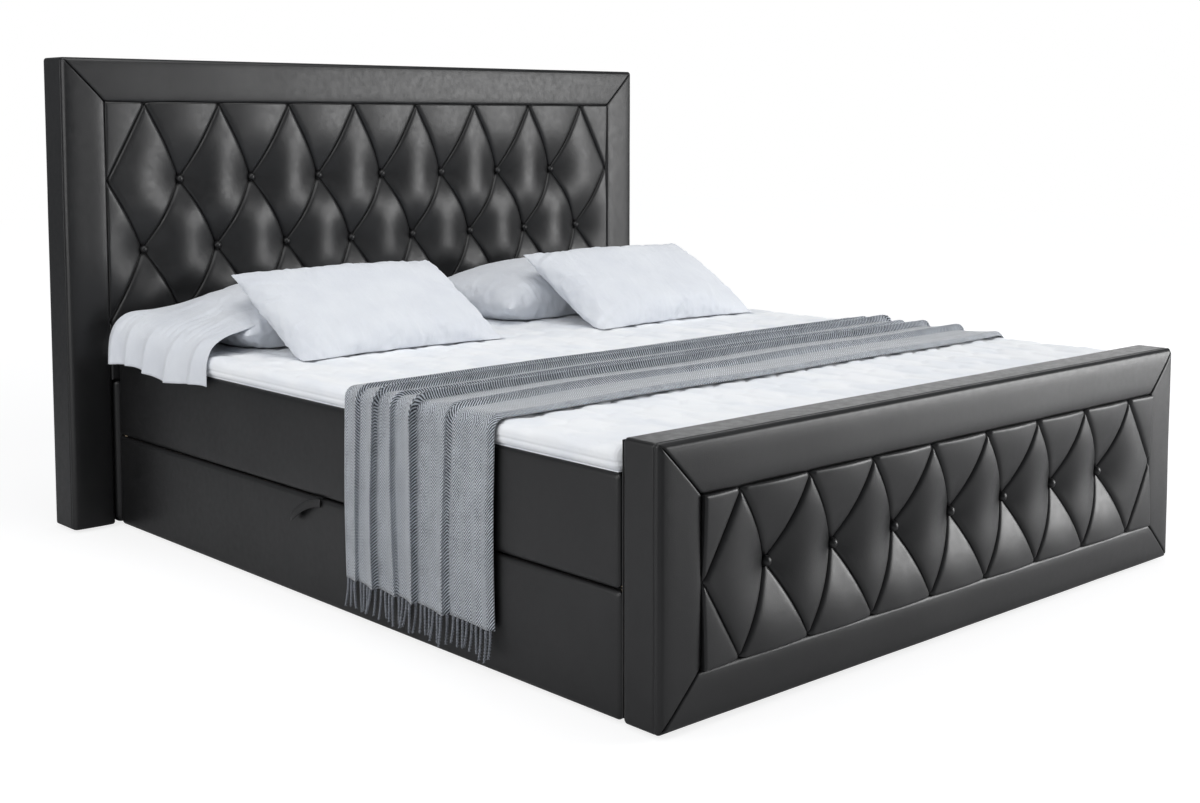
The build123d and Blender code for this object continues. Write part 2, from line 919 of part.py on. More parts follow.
def topper_underside():
    inner = half_width - topper_cloth - fit
    return block(
        -inner, inner,
        lid_foot + topper_cloth + fit, lid_head - topper_cloth - fit,
        topper_low, topper_low + topper_underside_thickness,
    )


def throw_section():
    """The folded throw end on: flat below, a rounded rise for each of its folds."""
    pitch = throw_width / throw_fold_count
    edges = []
    for index in range(throw_fold_count):
        start = index * pitch
        crest = (start + pitch / 2, throw_thickness + throw_fold_rise)
        edges.append(ThreePointArc((start, throw_thickness), crest, (start + pitch, throw_thickness)))
    edges.append(Polyline(
        (throw_width, throw_thickness), (throw_width, 0), (0, 0), (0, throw_thickness),
    ))
    return make_face(Curve() + edges)


def throw():
    """The section swept up the near side, across the topper and down the far side."""
    out = half_width + throw_side_gap
    level = topper_top + fit
    bend = throw_bend_radius
    diagonal = bend * (1 - math.sin(math.radians(45)))
    y = foot_face + throw_near_edge
    path = (
        Line((-out, y, throw_near_hem), (-out, y, level - bend))
        + ThreePointArc(
            (-out, y, level - bend), (-out + diagonal, y, level - diagonal), (-out + bend, y, level),
        )
        + Line((-out + bend, y, level), (out - bend, y, level))
        + ThreePointArc(
            (out - bend, y, level), (out - diagonal, y, level - diagonal), (out, y, level - bend),
        )
        + Line((out, y, level - bend), (out, y, throw_far_hem))
    )
    start = Plane(origin=(-out, y, throw_near_hem), x_dir=(0, 1, 0), z_dir=(0, 0, 1))
    return sweep(start * throw_section(), path=Wire(path.edges()))


def tassel_row(x, hem):
    """Knotted tassels under one hem: each a slim prism that widens to its end."""
    pitch = throw_width / tassel_count
    solids = []
    for index in range(tassel_count):
        y = foot_face + throw_near_edge + pitch * (index + 1 / 2)
        top = RegularPolygon(tassel_radius / 2, tassel_sides)
        low = RegularPolygon(tassel_radius, tassel_sides)
        sections = [Pos(x, y, hem) * top, Pos(x, y, hem - tassel_length) * low]
        solids.append(loft(sections, ruled=True))
    return solids


def throw_fringe():
    middle = half_width + throw_side_gap + throw_thickness / 2
    return group(tassel_row(-middle, throw_near_hem - fit) + tassel_row(middle, throw_far_hem - fit))


pillow_station_shares = [-0.5, -0.41, -0.22, 0.0, 0.22, 0.41, 0.5]
pillow_depth_shares = [1.0, 0.975, 0.95, 0.94, 0.95, 0.975, 1.0]
pillow_thickness_shares = [0.0, 0.62, 0.93, 1.0, 0.93, 0.62, 0.0]


def pillow(length, depth, thickness, swell):
    """Crowned pillow about its middle; its sides draw in between pointed corners."""
    sections = []
    shares = zip(pillow_station_shares, pillow_depth_shares, pillow_thickness_shares)
    for station, depth_share, thickness_share in shares:
        half_depth = depth * depth_share / 2 + swell
        rise = (pillow_edge + (thickness - pillow_edge) * thickness_share) / 2 + swell
        lens = make_face(
            ThreePointArc((-half_depth, 0), (0, rise), (half_depth, 0))
            + ThreePointArc((half_depth, 0), (0, -rise), (-half_depth, 0))
        )
        place = station * (length + 2 * swell)
        sections.append(Plane(origin=(place, 0, 0), x_dir=(0, 1, 0), z_dir=(1, 0, 0)) * lens)
    return loft(sections)


def front_pillow_place(x, reach):
    lean = math.radians(front_pillow_lean)
    y = head_face - reach + pillow_depth / 2 * math.cos(lean)
    z = topper_top + front_pillow_lift + pillow_depth / 2 * math.sin(lean)
    return Pos(x, y, z) * Rot(front_pillow_lean, 0, 0)


def front_pillow(x, reach, swell=0.0):
    shape = pillow(pillow_length, pillow_depth, pillow_thickness, swell)
    return front_pillow_place(x, reach) * shape


def back_pillow(x, front):
    """Pillow lying flat, pressed in where the front one leans on it."""
    y = head_face - back_pillow_reach + back_pillow_depth / 2
    z = topper_top + fit + back_pillow_thickness / 2
    shape = pillow(back_pillow_length, back_pillow_depth, back_pillow_thickness, 0.0)
    placed = Pos(x, y, z + fit) * Rot(back_pillow_lean, 0, 0) * shape
    return placed - front


def flap_section(y, share):
    """The case's loose end, seen along the bed: out over the edge, then down."""
    wave = flap_fold_rise * share
    start_x = back_left_pillow_x - back_pillow_length / 2 - pillow_press_gap
    start_z = topper_top + back_pillow_thickness / 2
    bend_x = -half_width - flap_stand_out / 2 + wave
    bend_z = topper_top + back_pillow_thickness / 4
    hem_x = -half_width - flap_hem_stand_out + wave
    outline = Polyline(
        (start_x, start_z),
        (bend_x, bend_z + flap_thickness),
        (hem_x, flap_hem_height),
        (hem_x + flap_thickness, flap_hem_height),
        (bend_x + flap_thickness, bend_z),
        (start_x, start_z - flap_thickness),
        close=True,
    )
    plane = Plane(origin=(0, y, 0), x_dir=(1, 0, 0), z_dir=(0, -1, 0))
    return plane * make_face(outline)


def pillowcase_flap():
    middle = head_face - back_pillow_reach + back_pillow_depth / 2
    steps = 2 * flap_fold_count
    sections = []
    for index in range(steps + 1):
        y = middle - flap_length / 2 + flap_length * index / steps
        share = 1 if index % 2 else -1
        sections.append(flap_section(y, share))
    return loft(sections, ruled=True)


headboard = make_headboard()
footboard = make_footboard()
strut_foot = Strut(-1)
strut_head = Strut(1)
topper_low = box_height + fit
strap_x = -half_width - strap_side_gap - strap_bend_radius - strap_thickness
strap_y = mid_y
strap_z = seam_height - strap_width / 2


def save_board(board, name):
    save(tufted_panel(board), f"{name}_tufted_panel")
    save(buttons(board), f"{name}_buttons")
    save(back_board(board), f"{name}_back_board")
    save(timber(board), f"{name}_timber")
    save(back_lining(board), f"{name}_back_lining")
    save(top_rail(board), f"{name}_rail_top")


def save_headboard():
    save_board(headboard, "headboard")
    left = side_rail(headboard, glide_height)
    save(left, "headboard_rail_left")
    save(mirror(left, about=Plane.YZ), "headboard_rail_right")
    save(lower_pad(), "headboard_lower_pad")


def save_footboard():
    save_board(footboard, "footboard")
    left = side_rail(footboard, footboard.panel_low + mitre_gap)
    save(left, "footboard_rail_left")
    save(mirror(left, about=Plane.YZ), "footboard_rail_right")
    save(bottom_rail(footboard), "footboard_rail_bottom")


def save_chest():
    cover = side_cover(glide_height, chest_top, foot_face, head_face, cover_roll, cover_roll / 2)
    side = chest_side_board()
    save(mirror(cover, about=Plane.YZ), "chest_cover_left")
    save(cover, "chest_cover_right")
    save(both_sides(side), "chest_side_boards")
    save(chest_end_boards(), "chest_end_boards")
    save(group(end_bolts(foot_face, 1) + end_bolts(head_face, -1)), "chest_end_bolts")
    save(chest_floor_beams(), "chest_floor_beams")
    save(chest_floor_panels(), "chest_floor_panels")
    save(chest_corner_blocks(), "chest_corner_blocks")
    save(group(chest_glides() + board_glides(headboard) + board_glides(footboard)), "glides")
    save(rest_pads(), "lid_rest_pads")


def save_hinges_and_struts():
    places = hinge_places()
    save(group([chest_leaf(y) for y in places]), "hinge_chest_leaves")
    save(group([lid_leaf(y) for y in places]), "hinge_lid_leaves")
    save(group([hinge_pin(y) for y in places]), "hinge_pins")
    for strut, end in ((strut_foot, "foot"), (strut_head, "head")):
        save(strut_cylinder(strut), f"strut_cylinder_{end}")
        save(strut_rod(strut), f"strut_rod_{end}")
    save(group([strut_chest_bracket(s) for s in (strut_foot, strut_head)]), "strut_chest_brackets")
    save(group([strut_lid_bracket(s) for s in (strut_foot, strut_head)]), "strut_lid_brackets")


def save_lid():
    cover = side_cover(lid_bottom, box_height, lid_foot, lid_head, cover_roll, cover_roll)
    side = lid_side_rail()
    save(mirror(cover, about=Plane.YZ), "lid_cover_left")
    save(cover, "lid_cover_right")
    save(both_sides(side), "lid_side_rails")
    save(lid_end_rails(), "lid_end_rails")
    save(lid_centre_beam(), "lid_centre_beam")
    save(lid_slats(), "lid_slats")
    save(lid_dust_cloth(), "lid_dust_cloth")
    save(spring_core(), "lid_spring_core")
    save(lid_foam_pad(), "lid_foam_pad")
    save(lid_top_cloth(), "lid_top_cloth")
    save(lid_end_covers(), "lid_end_covers")
    save(pull_loop(), "pull_loop")
    save(pull_loop_tab(), "pull_loop_tab")


def save_bedding():
    save(topper_cover(), "topper_cover")
    save(topper_core(), "topper_core")
    save(topper_underside(), "topper_underside")
    save(throw(), "throw")
    save(throw_fringe(), "throw_fringe")
    save(front_pillow(front_left_pillow_x, front_left_pillow_reach), "pillow_front_left")
    save(front_pillow(front_right_pillow_x, front_right_pillow_reach), "pillow_front_right")
    left_press = front_pillow(front_left_pillow_x, front_left_pillow_reach, pillow_press_gap)
    right_press = front_pillow(front_right_pillow_x, front_right_pillow_reach, pillow_press_gap)
    save(back_pillow(back_left_pillow_x, left_press), "pillow_back_left")
    save(back_pillow(back_right_pillow_x, right_press), "pillow_back_right")
    save(pillowcase_flap(), "pillowcase_flap")


os.makedirs("parts", exist_ok=True)
save_headboard()
save_footboard()
save_chest()
save_hinges_and_struts()
save_lid()
save_bedding()
print("strut rest length", round(strut_foot.length, 3), "stroke", round(strut_foot.stroke, 3))
print("strut swing in degrees", round(strut_foot.swing, 4))
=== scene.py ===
"""The looks of an upholstered box spring bed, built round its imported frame.

Lengths are metres in the bed's own frame: X across the bed, Y from foot to head, Z up.
"""

import math

import bmesh
import bpy
import numpy as np
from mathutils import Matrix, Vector
from mathutils.bvhtree import BVHTree


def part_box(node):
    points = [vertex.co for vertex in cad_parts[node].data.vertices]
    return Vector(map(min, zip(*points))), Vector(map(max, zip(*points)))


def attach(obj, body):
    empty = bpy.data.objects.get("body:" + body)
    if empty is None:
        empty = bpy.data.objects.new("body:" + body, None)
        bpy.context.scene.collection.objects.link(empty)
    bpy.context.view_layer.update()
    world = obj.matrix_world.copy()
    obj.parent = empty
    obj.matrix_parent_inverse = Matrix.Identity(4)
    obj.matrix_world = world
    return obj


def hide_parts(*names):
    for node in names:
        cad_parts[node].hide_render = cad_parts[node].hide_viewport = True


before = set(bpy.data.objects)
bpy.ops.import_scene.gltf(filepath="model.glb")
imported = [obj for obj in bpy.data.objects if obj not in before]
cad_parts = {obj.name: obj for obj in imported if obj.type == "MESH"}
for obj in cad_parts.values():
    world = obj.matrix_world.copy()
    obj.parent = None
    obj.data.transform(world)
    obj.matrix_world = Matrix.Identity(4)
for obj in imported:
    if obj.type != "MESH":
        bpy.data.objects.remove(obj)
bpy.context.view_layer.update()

# The camera's place, turn, tilt, lens in millimetres and shift, solved from the picture.
CAMERA_PLACE = (-2.8864, -3.1312, 1.1129)
CAMERA_TURN = 0.7406
CAMERA_TILT = 0.0851
CAMERA_LENS = 48.809
CAMERA_SHIFT = -0.12
SENSOR_WIDTH = 36.0

# Soft edges of slabs and rails.
ROLL_STEPS = 5
RAIL_ROLL = 0.011
RAIL_CROWN = 0.0035
RAIL_STEP = 0.010
RAIL_RIPPLE = 0.0005
RAIL_RIPPLE_SIZE = 0.30
MITRE_ROLL = 0.006
EDGING = 0.0006
EDGING_FALL = 0.014
LINING_INSET = 0.006
SEAM_PLACE = 0.004
SEAM_DEPTH = 0.0020
SEAM_WIDTH = 0.0013
STATION_STARTS = (0.0, 0.0006, 0.0015, 0.003, 0.0045, 0.006, 0.009, 0.014, 0.022, 0.032)
STATION_STEP = 0.020

# Deep buttoning, from the buttons' level outwards.
PANEL_TUCK = 0.004
FOLD_LEVEL = 0.034
PUFF = 0.0070
PUFF_SHARE = 0.55
CREASE = 0.0068
CREASE_WIDTH = 0.0028
DIP_REACH = 0.156
DIP_SHARE = 2.0
TUCK_DEPTH = 0.005
TUCK_REACH = 0.014
EDGE_ROLL = 0.006
EDGE_DROP = 0.0045
EDGE_LINES = (0.0006, 0.0014, 0.0025, 0.0040, 0.0060, 0.0090)
FOLD_COUNT = 36
FOLD_CROWDING = 1.6
CELL_REACH = 7
HEAD_TUFTS = {"level": 1.029, "pitch": 0.2275, "row": 0.192, "top_row": 0.946, "above": 0.209, "rows": (7, 8, 7)}
FOOT_TUFTS = {"level": -1.0865, "pitch": 0.1975, "row": 0.160, "top_row": 0.270, "above": 0.160, "rows": (7,)}
BUTTON_PROFILE = ((0.0, 0.0165), (0.0040, 0.0160), (0.0075, 0.0140), (0.0100, 0.0105), (0.0112, 0.0062),
                  (0.0110, 0.0015), (0.0090, -0.0030))
BUTTON_SIDES = 24

# The throw: its fold lines across the width, their heights, and its weave.
THROW_VALLEY_SHARES = (0.0, 0.27, 0.50, 0.63, 0.76, 0.90, 1.0)
THROW_RIDGE_SHARES = (0.50, 0.90, 1.10, 0.65, 1.05, 0.60)
THROW_TOP_RISE = 0.018
THROW_HANG_RISE = 0.019
THROW_PEAK = 0.15
THROW_FALL_POWER = 2.0
THROW_LEAN = 0.015
THROW_LEAN_POWER = 2.0
THROW_DROP = 0.018
THROW_WANDER = 0.012
THROW_WANDER_LENGTH = 0.95
THROW_CHANGE = 0.10
THROW_CHANGE_LENGTH = 0.75
THROW_EDGE_WANDER = 0.004
THROW_SLIDE = 0.027
THROW_TURN = 0.018
THROW_THICKNESS = 0.0030
THROW_BEND = 0.024
THROW_SIDE = 0.9085
THROW_STEP_ACROSS = 0.0024
THROW_STEP_ALONG = 0.0095
WEAVE_COLUMN = 0.022
WEAVE_PITCH = 0.0070
FRINGE_COUNT = 33
FRINGE_LENGTH = 0.062
FRINGE_SPREAD = 0.008
PLY_RADIUS = 0.0021
PLY_TWIST = 0.013
PLY_RINGS = 20
PLY_SIDES = 6

# Pillows: how the cloth envelopes are made and filled.
PILLOW_STEP = 0.0078
PILLOW_BOW = 0.02
PILLOW_START = 0.003
PILLOW_RISE_SHARE = 0.40
PILLOW_UNEVEN = 0.0010
PILLOW_UNEVEN_SIZE = 0.055
PILLOW_SLACK = -0.16
PILLOW_SLACK_REACH = 0.09
PILLOW_PRESSURE = 1.6
PILLOW_FRAMES = 22
GATHER_DEPTH = 0.0090
GATHER_REACH = 0.062
GATHER_START = 0.008
GATHER_LEAN = 0.45
GATHER_LENGTHS = (0.021, 0.029, 0.046)
REST_GAP = 0.0004
PRESS_GAP = 0.0012

# The open end of a pillowcase that hangs over the mattress.
FLAP_ROOTS = ((-0.754, -0.700, 0.500, 0.870, -0.0020), (-0.766, -0.735, 0.498, 0.880, 0.0020),
              (-0.780, -0.768, 0.495, 0.892, 0.0050))
FLAP_LINES = (((-0.842, 0.490, 0.568), (-0.902, 0.925, 0.596)), ((-0.893, 0.484, 0.545), (-0.942, 0.926, 0.568)),
              ((-0.913, 0.478, 0.502), (-0.954, 0.927, 0.522)), ((-0.917, 0.472, 0.443), (-0.957, 0.927, 0.466)))
FLAP_SEAM_REACH = 0.14
FLAP_ROWS = 54
FLAP_ROUNDING = 10
FLAP_FOLD = 0.0115
FLAP_FOLDS = 5.0
FLAP_RIDGE = 1.6
FLAP_SINK = 0.3
FLAP_SHARPNESS = 1.5
FLAP_GATHER = 0.0028
FLAP_THICKNESS = 0.0011
FLAP_STEP = 0.006

# The pull strap: its band, how its loop opens and how it falls.
LOOP_THICKNESS = 0.003
LOOP_WIDTH = 0.020
LOOP_SAG = 0.35
LOOP_STATIONS = 49
LOOP_DROP = 1.5
LOOP_OPENING = 0.7
LOOP_BEND = 1.7
LOOP_SECTION = ((-1, 0), (-0.96, 0.7), (-0.88, 1), (-0.80, 0.75), (-0.72, 1), (0, 1), (0.72, 1), (0.80, 0.75),
                (0.88, 1), (0.96, 0.7), (1, 0), (0.96, -0.7), (0.88, -1), (0, -1), (-0.88, -1), (-0.96, -0.7))

# The topper.
TOPPER_ROLL = 0.020
TOPPER_STEP = 0.0082
TOPPER_SIDE_STEP = 0.0015
TOPPER_BAND = 0.019
TOPPER_SEAM_DEPTH = 0.0034
TOPPER_SEAM_WIDTH = 0.0024
QUILT_PITCH = 0.105
QUILT_DEPTH = 0.0052

# The stage: floor paint, how white it looks to the camera, and the surround's strength.
FLOOR_PAINT = (0.70, 0.70, 0.71)
FLOOR_GLOW_SHARE = 0.5
FLOOR_NEAR_GLOW = 1.58
FLOOR_NEAR = 2.4
FLOOR_FAR = 5.5
WORLD_STRENGTH = 0.22

MATERIALS = {}


# Meshes

def make_piece(name, points, faces):
    """A smooth shaded mesh object from points and faces."""
    data = bpy.data.meshes.new(name)
    data.from_pydata([tuple(p) for p in points], [], [tuple(int(i) for i in f) for f in faces])
    data.update()
    data.polygons.foreach_set("use_smooth", [True] * len(data.polygons))
    piece = bpy.data.objects.new(name, data)
    bpy.context.scene.collection.objects.link(piece)
    return piece


def face_outwards(piece):
    """Turns the faces of a closed mesh outwards."""
    mesh = bmesh.new()
    mesh.from_mesh(piece.data)
    bmesh.ops.recalc_face_normals(mesh, faces=mesh.faces)
    mesh.to_mesh(piece.data)
    mesh.free()
    return piece


def grid_faces(rows, columns, start=0, wrap=False, flip=False):
    """Quads over a grid of points numbered row by row."""
    faces = []
    last = columns if wrap else columns - 1
    for i in range(rows - 1):
        for j in range(last):
            k = (j + 1) % columns
            quad = (start + i * columns + j, start + (i + 1) * columns + j,
                    start + (i + 1) * columns + k, start + i * columns + k)
            faces.append(quad[::-1] if flip else quad)
    return faces


def ripple(points, size, seed, count=7):
    """Smooth uneven waves of about unit height, the same on every run."""
    draw = np.random.default_rng(seed)
    total = np.zeros(len(points))
    for _ in range(count):
        direction = draw.normal(size=3)
        direction /= np.linalg.norm(direction)
        wave = 2 * math.pi / (size * draw.uniform(0.6, 1.6))
        total += np.sin(points @ direction * wave + draw.uniform(0, 2 * math.pi))
    return total / math.sqrt(count)


def settle(piece, body, slot, *nodes, material=None):
    """Gives a piece its material, the nodes that it stands for and the body that it rides on."""
    piece.data.materials.clear()
    piece.data.materials.append(MATERIALS[material or slot])
    if nodes:
        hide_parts(*nodes)
    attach(piece, body)
    return piece


def add_modifier(piece, kind, **values):
    """Adds a modifier and applies it to the mesh."""
    modifier = piece.modifiers.new(kind.title(), kind)
    for key, value in values.items():
        setattr(modifier, key, value)
    depsgraph = bpy.context.evaluated_depsgraph_get()
    data = bpy.data.meshes.new_from_object(piece.evaluated_get(depsgraph))
    piece.modifiers.clear()
    piece.data = data
    return piece


# Slabs with rolled edges

def graded(half, roll, step):
    """Positions from -half to half, close together over the rolled ends."""
    flat = half - roll
    inner = np.linspace(-flat, flat, max(2, int(round(2 * flat / step)) + 1))
    bend = roll * np.tan(np.linspace(0, math.pi / 4, ROLL_STEPS + 1))[1:]
    return np.concatenate([-(flat + bend)[::-1], inner, flat + bend])


def slab_points(half, roll, steps):
    """Points, outward directions and faces of a box with rolled edges, about its centre."""
    lines = [graded(half[k], roll[k], steps[k]) for k in range(3)]
    patches = []
    faces = []
    start = 0
    for k, (i, j) in enumerate(((1, 2), (2, 0), (0, 1))):
        for side in (-1, 1):
            first, second = np.meshgrid(lines[i], lines[j], indexing="ij")
            patch = np.zeros((first.size, 3))
            patch[:, i] = first.ravel()
            patch[:, j] = second.ravel()
            patch[:, k] = side * half[k]
            faces += grid_faces(len(lines[i]), len(lines[j]), start, flip=side < 0)
            start += len(patch)
            patches.append(patch)
    points = np.concatenate(patches)
    keys = np.round(points * 1e6).astype(np.int64)
    _, first, inverse = np.unique(keys, axis=0, return_index=True, return_inverse=True)
    points = points[first]
    faces = np.asarray(inverse).ravel()[np.array(faces)]
    inner = np.clip(points, -(half - roll), half - roll)
    offset = (points - inner) / roll
    offset /= np.linalg.norm(offset, axis=1)[:, None]
    outward = offset / roll
    outward /= np.linalg.norm(outward, axis=1)[:, None]
    return inner + roll * offset, outward, faces


def slab(name, low, high, roll, step, crown=0.0, crown_axis=0, uneven=0.0, uneven_size=0.3, seed=1):
    """A soft slab that fills a box: rolled edges, a crown on two faces and a slight unevenness."""
    low, high = np.array(low, float), np.array(high, float)
    centre, half = (low + high) / 2, (high - low) / 2
    half[crown_axis] -= crown
    roll = np.minimum(np.broadcast_to(roll, 3), half * 0.98)
    points, outward, faces = slab_points(half, roll, np.broadcast_to(step, 3))
    relative = points / half
    swell = np.ones(len(points))
    for k in range(3):
        if k != crown_axis:
            swell *= 1 - np.abs(relative[:, k]) ** 4
    lift = crown * swell * np.abs(outward[:, crown_axis])
    lift += uneven * (ripple(points + centre, uneven_size, seed) - 1.5) * swell
    return make_piece(name, points + outward * lift[:, None] + centre, faces)


def half_boxes(node, axis):
    """The boxes of a node's two halves, below and above zero on an axis."""
    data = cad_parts[node].data
    points = np.zeros(len(data.vertices) * 3)
    data.vertices.foreach_get("co", points)
    points = points.reshape(-1, 3)
    found = []
    for side in (points[:, axis] < 0, points[:, axis] > 0):
        found.append((points[side].min(0), points[side].max(0)))
    return found


# Leather rails with mitred corners

def station_steps(length):
    """Distances along a rail, close together at both ends."""
    starts = np.array(STATION_STARTS)
    inner = np.linspace(starts[-1], length - starts[-1], int(length / STATION_STEP))[1:-1]
    return np.concatenate([starts, inner, length - starts[::-1]])


def section_loop(half_cross, half_depth):
    """Points round a rail's section and their outward directions, as cross and depth values."""
    cross = graded(half_cross, RAIL_ROLL, RAIL_STEP)
    seam = half_depth - RAIL_ROLL - SEAM_PLACE
    lines = [seam + k * SEAM_WIDTH for k in (-2, -1, 0, 1, 2)]
    depth = np.unique(np.concatenate([graded(half_depth, RAIL_ROLL, RAIL_STEP), lines]))
    corners = [[(half_cross, d) for d in depth[:-1]],
               [(c, half_depth) for c in cross[:0:-1]],
               [(-half_cross, d) for d in depth[:0:-1]],
               [(c, -half_depth) for c in cross[:-1]]]
    points = np.array(sum(corners, []))
    limit = np.array([half_cross, half_depth]) - RAIL_ROLL
    inner = np.clip(points, -limit, limit)
    outward = points - inner
    outward /= np.linalg.norm(outward, axis=1)[:, None]
    lift = RAIL_CROWN * (1 - (points[:, 0] / half_cross) ** 4) * np.clip(outward[:, 1], 0, 1)
    on_seam = np.exp(-((points[:, 1] - seam) / SEAM_WIDTH) ** 2) * (outward[:, 0] > 0.99)
    return inner + RAIL_ROLL * outward, outward, lift - SEAM_DEPTH * on_seam


def roll_in(gap, radius):
    """How far a surface curls inwards at a distance from the seam that it is sewn at."""
    share = np.clip(1 - gap / radius, 0, 1)
    return radius * (1 - np.sqrt(1 - share ** 2))


def rail(name, node, along, outer, mitred, seed):
    """A padded leather rail in its node's box, its front towards the foot of the bed."""
    low, high = (np.array(corner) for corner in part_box(node))
    across = 2 - along
    centre, half = (low + high) / 2, (high - low) / 2
    section, outward, lift = section_loop(half[across], half[1] - RAIL_CROWN)
    stations = station_steps(high[along] - low[along])
    share = (stations / stations[-1])[:, None]
    reach = half[across] - section[:, 0][None, :]
    start = low[along] + mitred[0] * reach
    run = high[along] - mitred[1] * reach - start
    inset = roll_in(share * run, MITRE_ROLL) + roll_in((1 - share) * run, MITRE_ROLL)
    offset = lift[None, :] - inset
    points = np.zeros((len(stations), len(section), 3))
    points[..., along] = start + share * run
    points[..., across] = centre[across] + outer * (section[:, 0] + outward[:, 0] * offset)
    points[..., 1] = centre[1] - (section[:, 1] + outward[:, 1] * offset)
    flat = points.reshape(-1, 3)
    flat[:, 1] += RAIL_RIPPLE * ripple(flat, RAIL_RIPPLE_SIZE, seed)
    faces = grid_faces(len(stations), len(section), wrap=True)
    last = len(flat) - len(section)
    faces += [tuple(range(len(section))), tuple(range(last, len(flat)))]
    return settle(face_outwards(make_piece(name, flat, faces)), "base", "black_leatherette", node)


def make_rails():
    """The frames round both tufted panels."""
    rail("headboard_top_rail", "headboard_rail_top", 0, 1, (1, 1), 11)
    rail("headboard_left_rail", "headboard_rail_left", 2, -1, (0, 1), 12)
    rail("headboard_right_rail", "headboard_rail_right", 2, 1, (0, 1), 13)
    rail("footboard_top_rail", "footboard_rail_top", 0, 1, (1, 1), 14)
    rail("footboard_bottom_rail", "footboard_rail_bottom", 0, -1, (1, 1), 15)
    rail("footboard_left_rail", "footboard_rail_left", 2, -1, (1, 1), 16)
    rail("footboard_right_rail", "footboard_rail_right", 2, 1, (1, 1), 17)


# Tufted panels

def button_places(tufts):
    """The buttons' places on a panel, row by row from the top one down."""
    places = []
    for row, count in enumerate(tufts["rows"]):
        for k in range(count):
            places.append(((k - (count - 1) / 2) * tufts["pitch"], tufts["top_row"] - row * tufts["row"]))
    return places


def tuck_places(tufts, half, low, high):
    """Where the folds run under the rails round a panel."""
    pitch, row, top = tufts["pitch"], tufts["row"], tufts["top_row"]
    count = tufts["rows"][0] + 1
    places = [((k - (count - 1) / 2) * pitch, high) for k in range(count)]
    places += [(side * half, top - 2 * k * row) for side in (-1, 1) for k in (0, 1)]
    if len(tufts["rows"]) == 1:
        places += [((k - (count - 1) / 2) * pitch, low) for k in range(count)]
    return places


def hollow(x, z, places, depth, reach, share):
    """The depth of the round hollows at some places of a panel."""
    total = np.zeros(len(x))
    for px, pz in places:
        total += depth * np.clip(1 - np.hypot(x - px, z - pz) / reach, 0, 1) ** share
    return total


def tuft_height(x, z, tufts, half, low, high):
    """How far the leather stands in front of the buttons' level."""
    pitch, row = tufts["pitch"], tufts["row"]
    step = z - tufts["top_row"]
    step = np.where(step > 0, step * row / tufts["above"], step)
    rise = step / (2 * row)
    first, second = x / pitch - rise, x / pitch + rise
    first -= np.floor(first)
    second -= np.floor(second)
    slope = math.hypot(1 / pitch, 1 / (2 * row))
    height = FOLD_LEVEL + PUFF * np.clip(np.sin(math.pi * first) * np.sin(math.pi * second), 0, 1) ** PUFF_SHARE
    crease = np.zeros(len(x))
    for part in (first, second):
        crease = np.maximum(crease, np.exp(-np.minimum(part, 1 - part) / slope / CREASE_WIDTH))
    height -= CREASE * crease
    height -= hollow(x, z, button_places(tufts), FOLD_LEVEL, DIP_REACH, DIP_SHARE)
    height -= hollow(x, z, tuck_places(tufts, half, low, high), TUCK_DEPTH, TUCK_REACH, 1.0)
    edge = np.minimum(half - np.abs(x), np.minimum(z - low, high - z))
    share = np.clip(1 - edge / EDGE_ROLL, 0, 1)
    return height - EDGE_DROP * (1 - np.sqrt(1 - share ** 2))


def fold_steps():
    """Shares from 0 to 1 across a diamond, close together at both folds."""
    t = np.linspace(-1, 1, FOLD_COUNT + 1)
    return 0.5 + 0.5 * np.sign(t) * (1 - (1 - np.abs(t)) ** FOLD_CROWDING)


def diamond_sheet(tufts, half, low, high):
    """A flat mesh of the diamonds that meet a panel, each with its own grid between the folds."""
    steps = fold_steps()
    pitch, row, top = tufts["pitch"], tufts["row"], tufts["top_row"]
    points, faces = [], []
    for i in range(-CELL_REACH, CELL_REACH):
        for j in range(-CELL_REACH, CELL_REACH):
            first, second = np.meshgrid(i + steps, j + steps, indexing="ij")
            x = pitch * (first + second) / 2
            rise = row * (second - first)
            z = top + np.where(rise > 0, rise * tufts["above"] / row, rise)
            if x.min() >= half or x.max() <= -half or z.min() >= high or z.max() <= low:
                continue
            faces += grid_faces(len(steps), len(steps), len(points))
            points += list(zip(x.ravel(), np.zeros(x.size), z.ravel()))
    mesh = bmesh.new()
    data = bpy.data.meshes.new("diamonds")
    data.from_pydata(points, [], faces)
    mesh.from_mesh(data)
    bmesh.ops.remove_doubles(mesh, verts=mesh.verts, dist=1e-5)
    return mesh


def cut_mesh(mesh, place, direction, clear):
    """Cuts a mesh along a plane, and clears what lies beyond it when asked."""
    geometry = mesh.verts[:] + mesh.edges[:] + mesh.faces[:]
    bmesh.ops.bisect_plane(mesh, geom=geometry, dist=1e-6, plane_co=place, plane_no=direction, clear_outer=clear)


def close_back(mesh, back):
    """Closes an open panel with straight sides and a flat back."""
    border = [edge for edge in mesh.edges if edge.is_boundary]
    made = bmesh.ops.extrude_edge_only(mesh, edges=border)["geom"]
    for vertex in made:
        if isinstance(vertex, bmesh.types.BMVert):
            vertex.co.y = back
    rim = [edge for edge in made if isinstance(edge, bmesh.types.BMEdge)]
    bmesh.ops.holes_fill(mesh, edges=rim, sides=0)
    bmesh.ops.recalc_face_normals(mesh, faces=mesh.faces)


